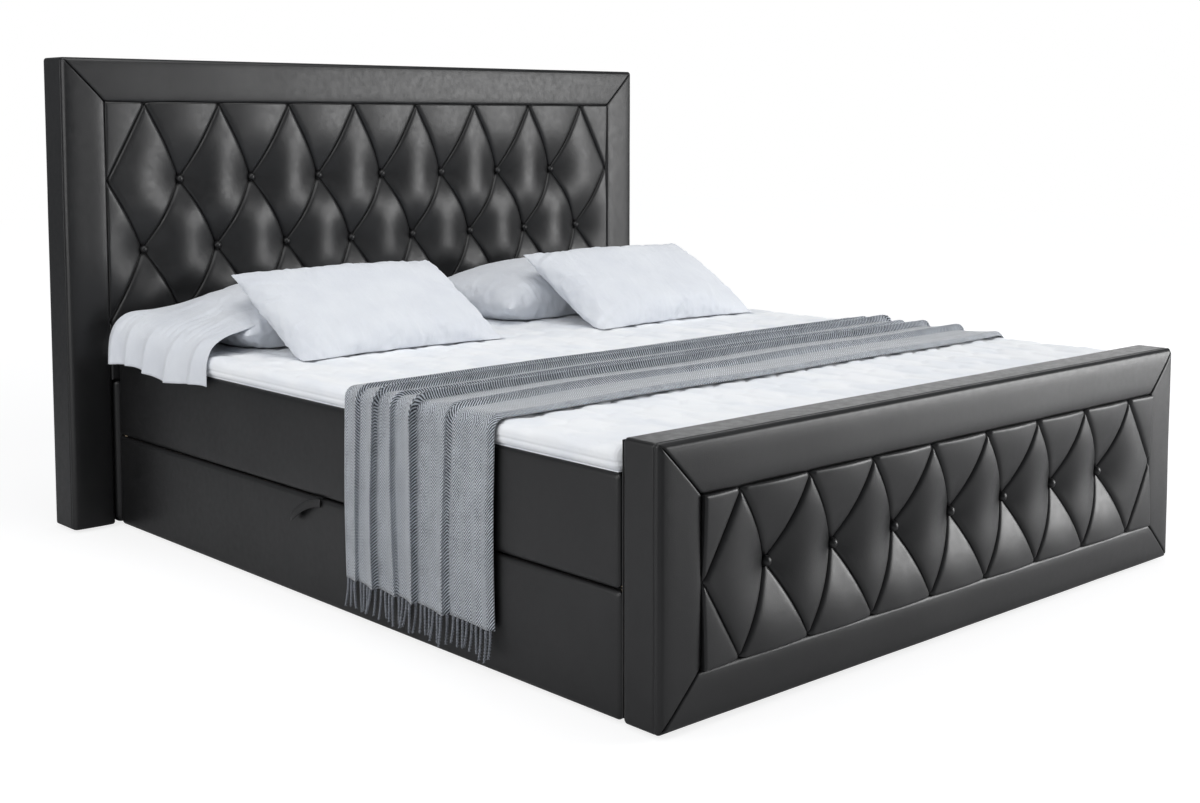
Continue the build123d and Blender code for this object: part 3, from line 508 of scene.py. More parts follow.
def tufted_panel(name, node, tufts):
    """A deep buttoned leather panel in its node's outline."""
    low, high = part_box(node)
    half = high.x + PANEL_TUCK
    low.z -= PANEL_TUCK
    high.z += PANEL_TUCK
    mesh = diamond_sheet(tufts, half, low.z, high.z)
    sides = ((Vector((half, 0, 0)), Vector((1, 0, 0))), (Vector((-half, 0, 0)), Vector((-1, 0, 0))),
             (Vector((0, 0, high.z)), Vector((0, 0, 1))), (Vector((0, 0, low.z)), Vector((0, 0, -1))))
    for place, direction in sides:
        cut_mesh(mesh, place, direction, True)
        for line in EDGE_LINES:
            cut_mesh(mesh, place - direction * line, direction, False)
    x = np.array([v.co.x for v in mesh.verts])
    z = np.array([v.co.z for v in mesh.verts])
    height = tuft_height(x, z, tufts, half, low.z, high.z)
    for vertex, lift in zip(mesh.verts, height):
        vertex.co.y = tufts["level"] - lift
    close_back(mesh, high.y)
    data = bpy.data.meshes.new(name)
    mesh.to_mesh(data)
    mesh.free()
    data.polygons.foreach_set("use_smooth", [True] * len(data.polygons))
    piece = bpy.data.objects.new(name, data)
    bpy.context.scene.collection.objects.link(piece)
    settle(piece, "base", "black_leatherette", node)
    return piece


def make_buttons(name, node, tufts):
    """Covered buttons, pulled into the panel at the meeting points of its folds."""
    points, faces = [], []
    for x, z in button_places(tufts):
        start = len(points)
        for radius, height in BUTTON_PROFILE:
            for k in range(BUTTON_SIDES):
                angle = 2 * math.pi * k / BUTTON_SIDES
                points.append((x + max(radius, 1e-5) * math.cos(angle), tufts["level"] - height,
                               z + max(radius, 1e-5) * math.sin(angle)))
        faces += grid_faces(len(BUTTON_PROFILE), BUTTON_SIDES, start, wrap=True)
        faces.append(tuple(range(start, start + BUTTON_SIDES)))
        faces.append(tuple(range(len(points) - BUTTON_SIDES, len(points))))
    settle(face_outwards(make_piece(name, points, faces)), "base", "black_leatherette", node)


# The box and its lid

def make_covers():
    """Leather covers of the chest and the lid, the linings and the cloths."""
    for tier, body in (("chest", "base"), ("lid", "lid")):
        for side in ("left", "right"):
            node = f"{tier}_cover_{side}"
            low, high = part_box(node)
            piece = slab(f"{tier}_{side}_leather", low, high, (0.0098, 0.012, 0.012), (0.01, 0.02, 0.012),
                         crown=0.003, uneven=0.0005, uneven_size=0.25, seed=len(node))
            settle(piece, body, "black_leatherette", node)
    for side, (low, high) in zip(("left", "right"), half_boxes("chest_side_boards", 0)):
        edging = slab(f"chest_{side}_edging", low + (-EDGING, 0, high[2] - low[2] - EDGING_FALL),
                      high + EDGING, EDGING * 0.9, (0.01, 0.03, 0.004))
        settle(edging, "base", "black_leatherette")
    for index, (low, high) in enumerate(half_boxes("lid_end_covers", 1)):
        piece = slab(f"lid_end_leather_{index + 1}", low, high, 0.0035, (0.02, 0.004, 0.02),
                     crown=0.0005, crown_axis=1, seed=index)
        settle(piece, "lid", "black_leatherette", "lid_end_covers")
    thin = (("headboard_back_cloth", "headboard_back_lining", "base", "black_lining", 1),
            ("footboard_back_cloth", "footboard_back_lining", "base", "black_lining", 1),
            ("headboard_lower_cover", "headboard_lower_pad", "base", "black_leatherette", 1),
            ("lid_dust_cover", "lid_dust_cloth", "lid", "black_lining", 2))
    for name, node, body, slot, axis in thin:
        low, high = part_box(node)
        if "back_lining" in node:
            low += Vector((LINING_INSET, 0, LINING_INSET))
            high -= Vector((LINING_INSET, 0, LINING_INSET))
        thickness = (high - low)[axis]
        piece = slab(name, low, high, thickness * 0.45, (0.03, 0.03, 0.03), crown=thickness * 0.02,
                     crown_axis=axis, uneven=thickness * 0.03, seed=len(name))
        settle(piece, body, slot, node)
    low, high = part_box("lid_top_cloth")
    piece = slab("lid_ticking", low, high, (high.z - low.z) * 0.45, 0.03, crown_axis=2, seed=5)
    settle(piece, "lid", "black_lining", "lid_top_cloth", "lid_foam_pad", "lid_spring_core")


def strap_path(length, inner, outer):
    """A drop-shaped loop's middle line: run along the strap and place across it."""
    turns = np.linspace(0, 2 * math.pi, LOOP_STATIONS)
    run = (1 - np.cos(turns)) / 2
    swing = np.sin(turns) * np.sin(turns / 2) ** LOOP_DROP
    share = 0.5 + 0.5 * swing / swing.max()
    return list(zip(run * length, inner + (outer - inner) * run ** LOOP_OPENING * share))


def make_pull_loop():
    """The leather loop that lifts the lid, and the tab that it is sewn to."""
    low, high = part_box("pull_loop")
    fall = high.z - low.z - LOOP_WIDTH
    length = high.y - low.y - LOOP_THICKNESS
    path = strap_path(length, high.x - LOOP_THICKNESS / 2, low.x + LOOP_THICKNESS / 2)
    points = []
    for k, (run, place) in enumerate(path):
        before, after = path[max(k - 1, 0)], path[min(k + 1, len(path) - 1)]
        tangent = np.array([after[0] - before[0], after[1] - before[1]])
        tangent /= np.linalg.norm(tangent)
        out = (high.x - place) / (high.x - low.x)
        level = high.z - LOOP_WIDTH / 2 - fall * (run / length) ** LOOP_BEND * (1 - LOOP_SAG + LOOP_SAG * out)
        for w, t in LOOP_SECTION:
            lift = t * LOOP_THICKNESS / 2
            points.append((place - tangent[0] * lift, low.y + run + tangent[1] * lift, level + w * LOOP_WIDTH / 2))
    faces = grid_faces(len(path), len(LOOP_SECTION), wrap=True)
    last = len(points) - len(LOOP_SECTION)
    faces += [tuple(range(len(LOOP_SECTION))), tuple(range(last, len(points)))]
    settle(face_outwards(make_piece("pull_strap", points, faces)), "pull_loop", "black_leatherette", "pull_loop")
    low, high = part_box("pull_loop_tab")
    tab = slab("pull_strap_tab", low, high, 0.0012, 0.006)
    settle(tab, "base", "black_leatherette", "pull_loop_tab")


# The topper

def quilt(points):
    """Shallow wavy quilting lines, staggered like bricks, from 0 on a pad to 1 in a line."""
    u, v = points[:, 0] / QUILT_PITCH, points[:, 1] / QUILT_PITCH
    wave = v + 0.16 * np.sin(2 * math.pi * u)
    row = np.floor(wave)
    across = np.abs(wave - row - 0.5) * 2
    shift = u + 0.5 * (row % 2)
    upright = np.abs(shift - np.floor(shift) - 0.5) * 2
    return np.maximum(across, upright) ** 6


def make_topper():
    """The quilted topper: a soft top edge, a seam above its lower band and shallow quilting."""
    low, high = (np.array(corner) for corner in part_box("topper_cover"))
    centre, half = (low + high) / 2, (high - low) / 2
    roll = np.array([TOPPER_ROLL, TOPPER_ROLL, TOPPER_ROLL])
    points, outward, faces = slab_points(half, roll, (TOPPER_STEP, TOPPER_STEP, TOPPER_SIDE_STEP))
    seam = low[2] + TOPPER_BAND - centre[2]
    groove = np.exp(-((points[:, 2] - seam) / TOPPER_SEAM_WIDTH) ** 2) * (np.abs(outward[:, 2]) < 0.8)
    inset = TOPPER_SEAM_DEPTH * groove + QUILT_DEPTH * quilt(points) * np.clip(outward[:, 2], 0, 1)
    inset += QUILT_DEPTH * 0.4 * (1 + ripple(points, 0.12, 3) / 2) * np.clip(outward[:, 2], 0, 1)
    piece = make_piece("topper_quilt", points - outward * inset[:, None] + centre, faces)
    settle(piece, "topper", "topper_cloth", "topper_cover", "topper_core")
    low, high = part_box("topper_underside")
    base = slab("topper_base_cloth", low, high, (high.z - low.z) * 0.45, 0.04, crown_axis=2, seed=6)
    settle(base, "topper", "topper_cloth", "topper_underside")
    return piece


# Pillows

def envelope(name, size, seed):
    """A pillow's cloth, sewn at its edges and laid out low, with its seams marked for slack."""
    width, depth, thickness = size
    columns = int(width / PILLOW_STEP)
    rows = int(depth / PILLOW_STEP)
    x, y = np.meshgrid(np.linspace(-1, 1, columns), np.linspace(-1, 1, rows), indexing="ij")
    across = x * width / 2 * (1 + PILLOW_BOW * (1 - y ** 2) * depth / width)
    deep = y * depth / 2 * (1 + PILLOW_BOW * (1 - x ** 2))
    inside = np.zeros(x.shape, bool)
    inside[1:-1, 1:-1] = True
    upper = np.arange(x.size).reshape(x.shape)
    lower = upper.copy()
    lower[inside] = x.size + np.arange(inside.sum())
    crown = ((1 - np.abs(x) ** 2.6) * (1 - np.abs(y) ** 2.2)) ** 0.62
    lift = PILLOW_START + PILLOW_RISE_SHARE * thickness * crown
    top = np.stack([across.ravel(), deep.ravel(), (lift * inside).ravel()], 1)
    bottom = top[inside.ravel()] * (1, 1, -1)
    points = np.concatenate([top, bottom])
    points[:, 2] += PILLOW_UNEVEN * ripple(points, PILLOW_UNEVEN_SIZE, seed) * np.sign(points[:, 2])
    faces = []
    for i in range(columns - 1):
        for j in range(rows - 1):
            faces.append((upper[i, j], upper[i + 1, j], upper[i + 1, j + 1], upper[i, j + 1]))
            faces.append((lower[i, j + 1], lower[i + 1, j + 1], lower[i + 1, j], lower[i, j]))
    piece = make_piece(name, points, faces)
    edge = np.minimum(width / 2 - np.abs(points[:, 0]), depth / 2 - np.abs(points[:, 1]))
    seam = piece.vertex_groups.new(name="seam")
    for number, share in enumerate(np.clip(1 - edge / PILLOW_SLACK_REACH, 0, 1)):
        seam.add([number], float(share), "REPLACE")
    return piece


def gathers(flat, size, seed):
    """The rise of the fine wrinkles that run in from a pillow's seams."""
    rise = np.zeros(len(flat))
    for axis in (0, 1):
        along = flat[:, 1 - axis]
        inwards = np.clip(size[axis] / 2 - np.abs(flat[:, axis]), 0, None)
        side = np.sign(flat[:, axis])
        bent = along + GATHER_LEAN * inwards * np.sin(along * 19 + seed + 2 * side)
        waves = np.zeros(len(flat))
        for number, length in enumerate(GATHER_LENGTHS):
            waves += 1 - 2 * np.abs(np.sin(math.pi * bent / length + 2.4 * number + 1.3 * seed + side))
        patches = 0.6 + 0.4 * np.sin(along * 37 + 2.1 * seed + side)
        fade = np.exp(-inwards / GATHER_REACH) * np.clip(inwards / GATHER_START, 0, 1)
        rise += waves / len(GATHER_LENGTHS) * fade * patches
    return rise


def fill_cloth(piece):
    """Fills an envelope by a short cloth simulation, with its result applied."""
    modifier = piece.modifiers.new("Cloth", "CLOTH")
    settings = modifier.settings
    settings.quality = 6
    settings.mass = 0.4
    settings.tension_stiffness = 60
    settings.compression_stiffness = 12
    settings.shear_stiffness = 8
    settings.bending_stiffness = 0.01
    settings.use_pressure = True
    settings.uniform_pressure_force = PILLOW_PRESSURE
    settings.shrink_min = 0
    settings.shrink_max = PILLOW_SLACK
    settings.vertex_group_shrink = "seam"
    settings.effector_weights.gravity = 0
    modifier.point_cache.frame_end = PILLOW_FRAMES + 1
    for number in range(1, PILLOW_FRAMES + 1):
        bpy.context.scene.frame_set(number)
    depsgraph = bpy.context.evaluated_depsgraph_get()
    data = bpy.data.meshes.new_from_object(piece.evaluated_get(depsgraph))
    piece.modifiers.clear()
    piece.vertex_groups.clear()
    piece.data = data
    bpy.context.scene.frame_set(1)
    return piece


def mesh_points(piece):
    """A mesh's points as rows of an array."""
    points = np.zeros(len(piece.data.vertices) * 3)
    piece.data.vertices.foreach_get("co", points)
    return points.reshape(-1, 3)


def put_points(piece, points):
    """Writes changed points back to a mesh."""
    piece.data.vertices.foreach_set("co", points.ravel())
    piece.data.update()


def pillow(name, node, size, lean, seed, level):
    """A filled pillow, scaled to its size, leaned, placed in its node's box and rested on the topper."""
    piece = envelope(name, size, seed)
    flat = mesh_points(piece)
    points = mesh_points(fill_cloth(piece))
    points -= (points.max(0) + points.min(0)) / 2
    points *= np.array(size) / (points.max(0) - points.min(0))
    points[:, 2] += np.sign(flat[:, 2]) * GATHER_DEPTH * gathers(flat, size, seed)
    leaned = points.copy()
    leaned[:, 1] = points[:, 1] * math.cos(lean) - points[:, 2] * math.sin(lean)
    leaned[:, 2] = points[:, 1] * math.sin(lean) + points[:, 2] * math.cos(lean)
    low, high = (np.array(corner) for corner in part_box(node))
    leaned[:, 0] += (low[0] + high[0]) / 2 - (leaned[:, 0].min() + leaned[:, 0].max()) / 2
    leaned[:, 1] += low[1] - leaned[:, 1].min()
    leaned[:, 2] += high[2] - leaned[:, 2].max()
    leaned[:, 2] = np.maximum(leaned[:, 2], level + REST_GAP)
    put_points(piece, leaned)
    return piece


def neighbours(piece):
    """Index pairs of a mesh's edges, as two arrays."""
    pairs = np.zeros(len(piece.data.edges) * 2, np.int64)
    piece.data.edges.foreach_get("vertices", pairs)
    return pairs.reshape(-1, 2)


def relax(points, pairs, weight, times):
    """Evens out the points where weight is above zero."""
    for _ in range(times):
        total = np.zeros_like(points)
        count = np.zeros(len(points))
        for a, b in ((0, 1), (1, 0)):
            np.add.at(total, pairs[:, a], points[pairs[:, b]])
            np.add.at(count, pairs[:, a], 1)
        points = points + weight[:, None] * (total / count[:, None] - points) * 0.5
    return points


def press_under(piece, others, lean):
    """Pushes a pillow down under the ones that lie on it."""
    up = Vector((0, -math.sin(lean), math.cos(lean)))
    points = mesh_points(piece)
    trees = []
    for other in others:
        polygons = [tuple(p.vertices) for p in other.data.polygons]
        trees.append(BVHTree.FromPolygons([tuple(p) for p in mesh_points(other)], polygons))
    pairs = neighbours(piece)
    weight = np.zeros(len(points))
    for stage in range(2):
        for k, point in enumerate(points):
            for tree in trees:
                spot = Vector(point)
                hit = tree.ray_cast(spot - up, up)
                if hit[0] is not None:
                    drop = hit[3] - 1 - PRESS_GAP
                    if drop < 0:
                        points[k] += np.array(up) * drop
                        weight[k] = 1
        if stage == 0:
            for _ in range(4):
                np.maximum.at(weight, pairs[:, 0], weight[pairs[:, 1]] * 0.8)
                np.maximum.at(weight, pairs[:, 1], weight[pairs[:, 0]] * 0.8)
            points = relax(points, pairs, weight, 6)
    put_points(piece, points)


FRONT_SIZE = (0.640, 0.410, 0.128)
BACK_SIZE = (0.740, 0.430, 0.205)
FRONT_LEAN = math.radians(30)
BACK_LEAN = math.radians(3)


def make_pillows():
    """Two pillows lying at the head end and two leaning on them."""
    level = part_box("topper_cover")[1].z
    fronts = []
    backs = []
    for index, side in enumerate(("left", "right")):
        fronts.append(pillow(f"front_pillow_{side}", f"pillow_front_{side}", FRONT_SIZE, FRONT_LEAN,
                             21 + index, level))
        backs.append(pillow(f"back_pillow_{side}", f"pillow_back_{side}", BACK_SIZE, BACK_LEAN,
                            31 + index, level))
    for back in backs:
        press_under(back, fronts, FRONT_LEAN)
        points = mesh_points(back)
        points[:, 2] = np.maximum(points[:, 2], level + REST_GAP)
        put_points(back, points)
    for row, pieces in (("front", fronts), ("back", backs)):
        for side, piece in zip(("left", "right"), pieces):
            add_modifier(piece, "SUBSURF", levels=1, render_levels=1)
            settle(piece, f"pillow_{row}_{side}", "pillow_cotton", f"pillow_{row}_{side}")
    return fronts, backs


def flap_thread(tree, u, level):
    """Where one thread of the flap runs, from the pillow to the hem, and its share of the way at the gathers."""
    places = []
    for near_x, far_x, near, far, rest in FLAP_ROOTS:
        x = near_x + (far_x - near_x) * u
        y = near + (far - near) * u
        hit = tree.ray_cast(Vector((x, y, 2 * level)), Vector((0, 0, -1)))[0]
        places.append((x, y, (hit.z if hit else level) + rest))
    places += [np.array(near) + (np.array(far) - np.array(near)) * u for near, far in FLAP_LINES]
    places = np.array(places)
    steps = np.concatenate([[0], np.cumsum(np.linalg.norm(np.diff(places, axis=0), axis=1))])
    run = np.linspace(0, steps[-1], FLAP_ROWS)
    thread = np.stack([np.interp(run, steps, places[:, k]) for k in range(3)], 1)
    for _ in range(FLAP_ROUNDING):
        thread[1:-1] += (thread[:-2] + thread[2:] - 2 * thread[1:-1]) / 2
    return thread, steps[len(FLAP_ROOTS)] / steps[-1]


def make_flap():
    """The open end of the back left pillow's case, hanging over the mattress edge in long folds."""
    low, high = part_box("pillowcase_flap")
    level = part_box("topper_cover")[1].z
    rest = bpy.data.objects["back_pillow_left"]
    tree = BVHTree.FromPolygons([tuple(p) for p in mesh_points(rest)], [tuple(p.vertices) for p in rest.data.polygons])
    columns = int((high.y - low.y) / FLAP_STEP)
    points = np.zeros((FLAP_ROWS, columns, 3))
    for j in range(columns):
        u = j / (columns - 1)
        thread, seam = flap_thread(tree, u, level)
        ahead = np.gradient(thread, axis=0)
        normal = np.stack([ahead[:, 2], np.zeros(FLAP_ROWS), -ahead[:, 0]], 1)
        normal /= np.linalg.norm(normal, axis=1)[:, None]
        t = np.linspace(0, 1, FLAP_ROWS)
        grow = np.clip((t - seam) / (1 - seam), 0, 1) ** 0.8
        phase = math.pi * FLAP_FOLDS * (u + 0.04 * np.sin(5 * u + 2 * t) + 0.06)
        fold = FLAP_RIDGE * (1 - np.abs(np.sin(phase))) ** FLAP_SHARPNESS - FLAP_SINK
        near = np.exp(-((t - seam) / FLAP_SEAM_REACH) ** 2)
        gather = FLAP_GATHER * near * np.sin(125 * u + 4 * math.sin(9 * u) + 3 * t)
        points[:, j] = thread + normal * (FLAP_FOLD * grow * fold + gather)[:, None]
        points[:, j, 2] += 0.008 * grow * math.sin(2 * math.pi * (1.4 * u + 0.2))
    points = points.reshape(-1, 3)
    rows = FLAP_ROWS
    piece = make_piece("pillowcase_open_end", points, grid_faces(rows, columns))
    add_modifier(piece, "SOLIDIFY", thickness=FLAP_THICKNESS, offset=0.0)
    settle(piece, "pillow_back_left", "pillow_cotton", "pillowcase_flap")


# The throw

def throw_path(near, far, top):
    """The throw's line over the bed, as places and outward directions against the run."""
    upright = top - THROW_BEND - near
    quarter = math.pi / 2 * THROW_BEND
    level = 2 * (THROW_SIDE - THROW_BEND)
    fall = top - THROW_BEND - far
    total = upright + quarter + level + quarter + fall
    count = int(total / THROW_STEP_ALONG)
    places = []
    for run in np.linspace(0, total, count):
        if run < upright:
            places.append((run, -THROW_SIDE, near + run, -1.0, 0.0))
        elif run < upright + quarter:
            angle = (run - upright) / THROW_BEND
            places.append((run, -THROW_SIDE + THROW_BEND - THROW_BEND * math.cos(angle),
                           top - THROW_BEND + THROW_BEND * math.sin(angle), -math.cos(angle), math.sin(angle)))
        elif run < upright + quarter + level:
            places.append((run, -THROW_SIDE + THROW_BEND + run - upright - quarter, top, 0.0, 1.0))
        elif run < total - fall:
            angle = (run - upright - quarter - level) / THROW_BEND
            places.append((run, THROW_SIDE - THROW_BEND + THROW_BEND * math.sin(angle),
                           top - THROW_BEND + THROW_BEND * math.cos(angle), math.sin(angle), math.cos(angle)))
        else:
            places.append((run, THROW_SIDE, far + total - run, 1.0, 0.0))
    return np.array(places)


def pleats(shares, run):
    """How far the throw's folds rise and lean across its width at one place along it, from 0 to about 1."""
    valleys = np.array(THROW_VALLEY_SHARES)
    order = np.arange(len(valleys))
    wander = THROW_WANDER * np.sin(2 * math.pi * run / THROW_WANDER_LENGTH + 1.7 * order)
    wander[0] = wander[-1] = 0
    number = np.interp(shares, valleys + wander, order)
    which = np.minimum(np.floor(number).astype(int), len(valleys) - 2)
    part = np.clip(number - which, 0, 1)
    climb = np.clip(part / THROW_PEAK, 0, 1) * math.pi / 2
    drop = np.clip((1 - part) / (1 - THROW_PEAK), 0, 1)
    ridge = np.where(part < THROW_PEAK, np.sin(climb), drop ** THROW_FALL_POWER)
    lean = np.where(part < THROW_PEAK, 1 - np.cos(climb), drop ** THROW_LEAN_POWER)
    change = 1 + THROW_CHANGE * np.sin(2 * math.pi * run / THROW_CHANGE_LENGTH + 2.1 * which)
    size = np.array(THROW_RIDGE_SHARES)[which] * change
    return size * ridge, size * lean


def throw_grid():
    """The throw's points as a grid of rows along it, and its flat coordinates."""
    low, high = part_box("throw")
    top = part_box("topper_cover")[1].z + THROW_THICKNESS
    path = throw_path(low.z - THROW_DROP, 0.338, top)
    columns = int((high.y - low.y) / THROW_STEP_ACROSS)
    shares = np.linspace(0, 1, columns)
    points = np.zeros((len(path), columns, 3))
    for row, (run, x, z, nx, nz) in enumerate(path):
        hang = 1 - nz
        rise = THROW_TOP_RISE + (THROW_HANG_RISE - THROW_TOP_RISE) * hang
        ridge, lean = pleats(shares, run)
        lift = rise * ridge
        edge = THROW_EDGE_WANDER * math.sin(2 * math.pi * run / 0.7) + THROW_SLIDE + THROW_TURN * x / THROW_SIDE
        points[row, :, 0] = x + nx * lift
        points[row, :, 1] = low.y + edge + (high.y - low.y) * shares - THROW_LEAN * lean
        points[row, :, 2] = z + nz * lift
    return points, path[:, 0], shares


def strand(base, direction, length, seed):
    """Two thin plies twisted together, hanging from a point of the hem."""
    draw = np.random.default_rng(seed)
    sway = draw.uniform(-1, 1, 2) * FRINGE_SPREAD
    length *= draw.uniform(0.86, 1.08)
    points, faces = [], []
    for ply in (0, math.pi):
        start = len(points)
        for ring in range(PLY_RINGS):
            t = ring / (PLY_RINGS - 1)
            drop = t * length
            angle = ply + 2 * math.pi * drop / PLY_TWIST
            bend = t * t
            centre = base + np.array([direction * (abs(sway[0]) * bend + PLY_RADIUS), sway[1] * bend, -drop])
            centre += PLY_RADIUS * np.array([math.cos(angle), math.sin(angle), 0])
            radius = PLY_RADIUS * (1.05 - 0.35 * t)
            for k in range(PLY_SIDES):
                turn = 2 * math.pi * k / PLY_SIDES
                points.append(centre + radius * np.array([math.cos(turn), math.sin(turn), 0]))
        faces += grid_faces(PLY_RINGS, PLY_SIDES, start, wrap=True)
        faces.append(tuple(range(start, start + PLY_SIDES)))
        faces.append(tuple(range(len(points) - PLY_SIDES, len(points))))
    return points, faces


def make_fringe(grid):
    """Twisted strands along both hems of the throw."""
    points, faces = [], []
    for side, row in ((-1, 0), (1, -1)):
        for k in range(FRINGE_COUNT):
            column = int((k + 0.5) / FRINGE_COUNT * (grid.shape[1] - 1))
            some, more = strand(grid[row, column], side, FRINGE_LENGTH, 100 * (side + 2) + k)
            faces += [tuple(i + len(points) for i in face) for face in more]
            points += some
    piece = face_outwards(make_piece("throw_fringe_strands", points, faces))
    return settle(piece, "throw", "throw_wool", "throw_fringe", material="throw_yarn")


def make_throw():
    """The woven throw that lies across the bed and hangs down both sides."""
    grid, runs, shares = throw_grid()
    rows, columns, _ = grid.shape
    piece = make_piece("throw_cloth", grid.reshape(-1, 3), grid_faces(rows, columns, flip=True))
    area = sum(p.area for p in piece.data.polygons)
    flat_width = area / runs[-1]
    layer = piece.data.uv_layers.new(name="weave")
    loops = np.zeros(len(piece.data.loops), np.int64)
    piece.data.loops.foreach_get("vertex_index", loops)
    weave = np.stack([shares[loops % columns] * flat_width, runs[loops // columns]], 1)
    layer.data.foreach_set("uv", weave.ravel())
    add_modifier(piece, "SOLIDIFY", thickness=THROW_THICKNESS, offset=0.0)
    settle(piece, "throw", "throw_wool", "throw")
    fringe = make_fringe(grid)


# Materials

class Look:
    """A material being made: its node tree with short ways to add and link nodes."""

    def __init__(self, name, colour, roughness, **sockets):
        self.material = bpy.data.materials.new(name)
        self.material.use_nodes = True
        self.tree = self.material.node_tree
        self.shader = self.tree.nodes["Principled BSDF"]
        self.shader.inputs["Base Color"].default_value = (*colour, 1)
        self.shader.inputs["Roughness"].default_value = roughness
        for key, value in sockets.items():
            self.shader.inputs[key.replace("_", " ")].default_value = value
        self.place = self.add("ShaderNodeTexCoord").outputs["Object"]
        MATERIALS[name] = self.material

    def add(self, kind, inputs=None, **properties):
        """A new node with some inputs linked or set."""
        node = self.tree.nodes.new(kind)
        for key, value in properties.items():
            setattr(node, key, value)
        for key, value in (inputs or {}).items():
            if isinstance(value, bpy.types.NodeSocket):
                self.tree.links.new(value, node.inputs[key])
            else:
                node.inputs[key].default_value = value
        return node

    def stretch(self, scale):
        """The object's coordinates, scaled by axis."""
        return self.add("ShaderNodeMapping", {"Vector": self.place, "Scale": scale}).outputs["Vector"]

    def noise(self, scale, detail=3.0, where=None, rough=0.5):
        """Noise from 0 to 1."""
        inputs = {"Vector": where or self.place, "Scale": scale, "Detail": detail, "Roughness": rough}
        return self.add("ShaderNodeTexNoise", inputs).outputs["Fac"]

    def cells(self, scale, where=None, feature="F1"):
        """Distances to the nearest point of a scatter of cells."""
        inputs = {"Vector": where or self.place, "Scale": scale}
        return self.add("ShaderNodeTexVoronoi", inputs, feature=feature).outputs["Distance"]

    def sum(self, operation, *values):
        """One operation on one, two or three numbers."""
        return self.add("ShaderNodeMath", dict(enumerate(values)), operation=operation).outputs[0]

    def between(self, value, low, high, from_low=0.0, from_high=1.0):
        """A value mapped to another range."""
        inputs = {"Value": value, "From Min": from_low, "From Max": from_high, "To Min": low, "To Max": high}
        return self.add("ShaderNodeMapRange", inputs).outputs["Result"]

    def colour(self, value, *stops):
        """Sets the base colour from a ramp of (place, colour) stops."""
        ramp = self.add("ShaderNodeValToRGB", {"Fac": value})
        elements = ramp.color_ramp.elements
        while len(elements) < len(stops):
            elements.new(0.5)
        for element, (place, tint) in zip(elements, stops):
            element.position = place
            element.color = (*tint, 1)
        self.tree.links.new(ramp.outputs["Color"], self.shader.inputs["Base Color"])

    def rough(self, value):
        """Links the roughness."""
        self.tree.links.new(value, self.shader.inputs["Roughness"])

    def bump(self, *layers):
        """Stacks bumps: each layer is a height value, a strength and a depth."""
        normal = None
        for height, strength, depth in layers:
            inputs = {"Height": height, "Strength": strength, "Distance": depth}
            if normal is not None:
                inputs["Normal"] = normal
            normal = self.add("ShaderNodeBump", inputs).outputs["Normal"]
        self.tree.links.new(normal, self.shader.inputs["Normal"])


def leather_look():
    """Near-black grained leatherette."""
    look = Look("black_leatherette", (0.010, 0.010, 0.011), 0.4, Specular_IOR_Level=0.45)
    broad = look.noise(6.0, 4.0)
    look.colour(broad, (0.3, (0.007, 0.007, 0.0075)), (0.7, (0.012, 0.012, 0.0125)))
    look.rough(look.between(look.noise(60.0, 5.0), 0.33, 0.42, 0.3, 0.7))
    grain = look.cells(620.0, feature="SMOOTH_F1")
    pores = look.noise(1500.0, 2.0)
    soft = look.noise(22.0, 4.0)
    look.bump((soft, 0.06, 0.004), (grain, 0.22, 0.0006), (pores, 0.08, 0.0003))


def cloth_look(name, dark, light, roughness, thread, depth, sheen, fleck=0.5, draw=(1, 1, 1), crease_depth=0.003):
    """A plain woven cloth with flecked threads and soft creases."""
    look = Look(name, light, roughness, Sheen_Weight=sheen, Sheen_Roughness=0.5)
    fine = look.noise(1.0 / thread * 1.3, 2.0)
    broad = look.noise(9.0, 4.0)
    blend = look.sum("ADD", look.sum("MULTIPLY", fine, fleck), look.sum("MULTIPLY", broad, 1 - fleck))
    look.colour(blend, (0.35, dark), (0.65, light))
    parts = look.add("ShaderNodeSeparateXYZ", {"Vector": look.place}).outputs
    turns = 2 * math.pi / thread
    waves = [look.sum("SINE", look.sum("MULTIPLY", parts[k], turns)) for k in range(3)]
    weave = look.sum("ADD", look.sum("ADD", waves[0], waves[1]), waves[2])
    crease = look.noise(38.0, 5.0, look.stretch(draw))
    look.bump((crease, 0.25, crease_depth), (weave, 0.3, depth), (fine, 0.3, depth))


def board_look(name, dark, light, stretch, scale, roughness):
    """Wood or chipboard: flecks or grain, drawn out along one axis."""
    look = Look(name, light, roughness)
    where = look.stretch(stretch)
    grain = look.noise(scale, 6.0, where, 0.6)
    chips = look.cells(scale * 2.0, where)
    blend = look.sum("ADD", look.sum("MULTIPLY", grain, 0.7), look.sum("MULTIPLY", chips, 0.4))
    look.colour(blend, (0.35, dark), (0.62, light))
    look.bump((blend, 0.3, 0.0006))
    look.rough(look.between(grain, roughness - 0.08, roughness + 0.08))


def metal_look(name, colour, roughness, metallic, coat=0.0):
    """Bare or painted metal with fine drawn marks."""
    look = Look(name, colour, roughness, Metallic=metallic, Coat_Weight=coat, Coat_Roughness=0.25)
    marks = look.noise(900.0, 3.0, look.stretch((1.0, 1.0, 0.06)))
    broad = look.noise(25.0, 4.0)
    darker = tuple(0.82 * c for c in colour)
    look.colour(broad, (0.3, darker), (0.7, colour))
    look.rough(look.between(marks, roughness - 0.06, roughness + 0.08))
    look.bump((marks, 0.08, 0.0003))


def plastic_look():
    """Matt moulded plastic with a fine texture."""
    look = Look("black_plastic", (0.03, 0.03, 0.03), 0.5)
    spark = look.noise(1400.0, 2.0)
    look.colour(look.noise(14.0), (0.3, (0.022, 0.022, 0.022)), (0.7, (0.036, 0.036, 0.036)))
    look.rough(look.between(spark, 0.44, 0.58))
    look.bump((spark, 0.12, 0.0003))


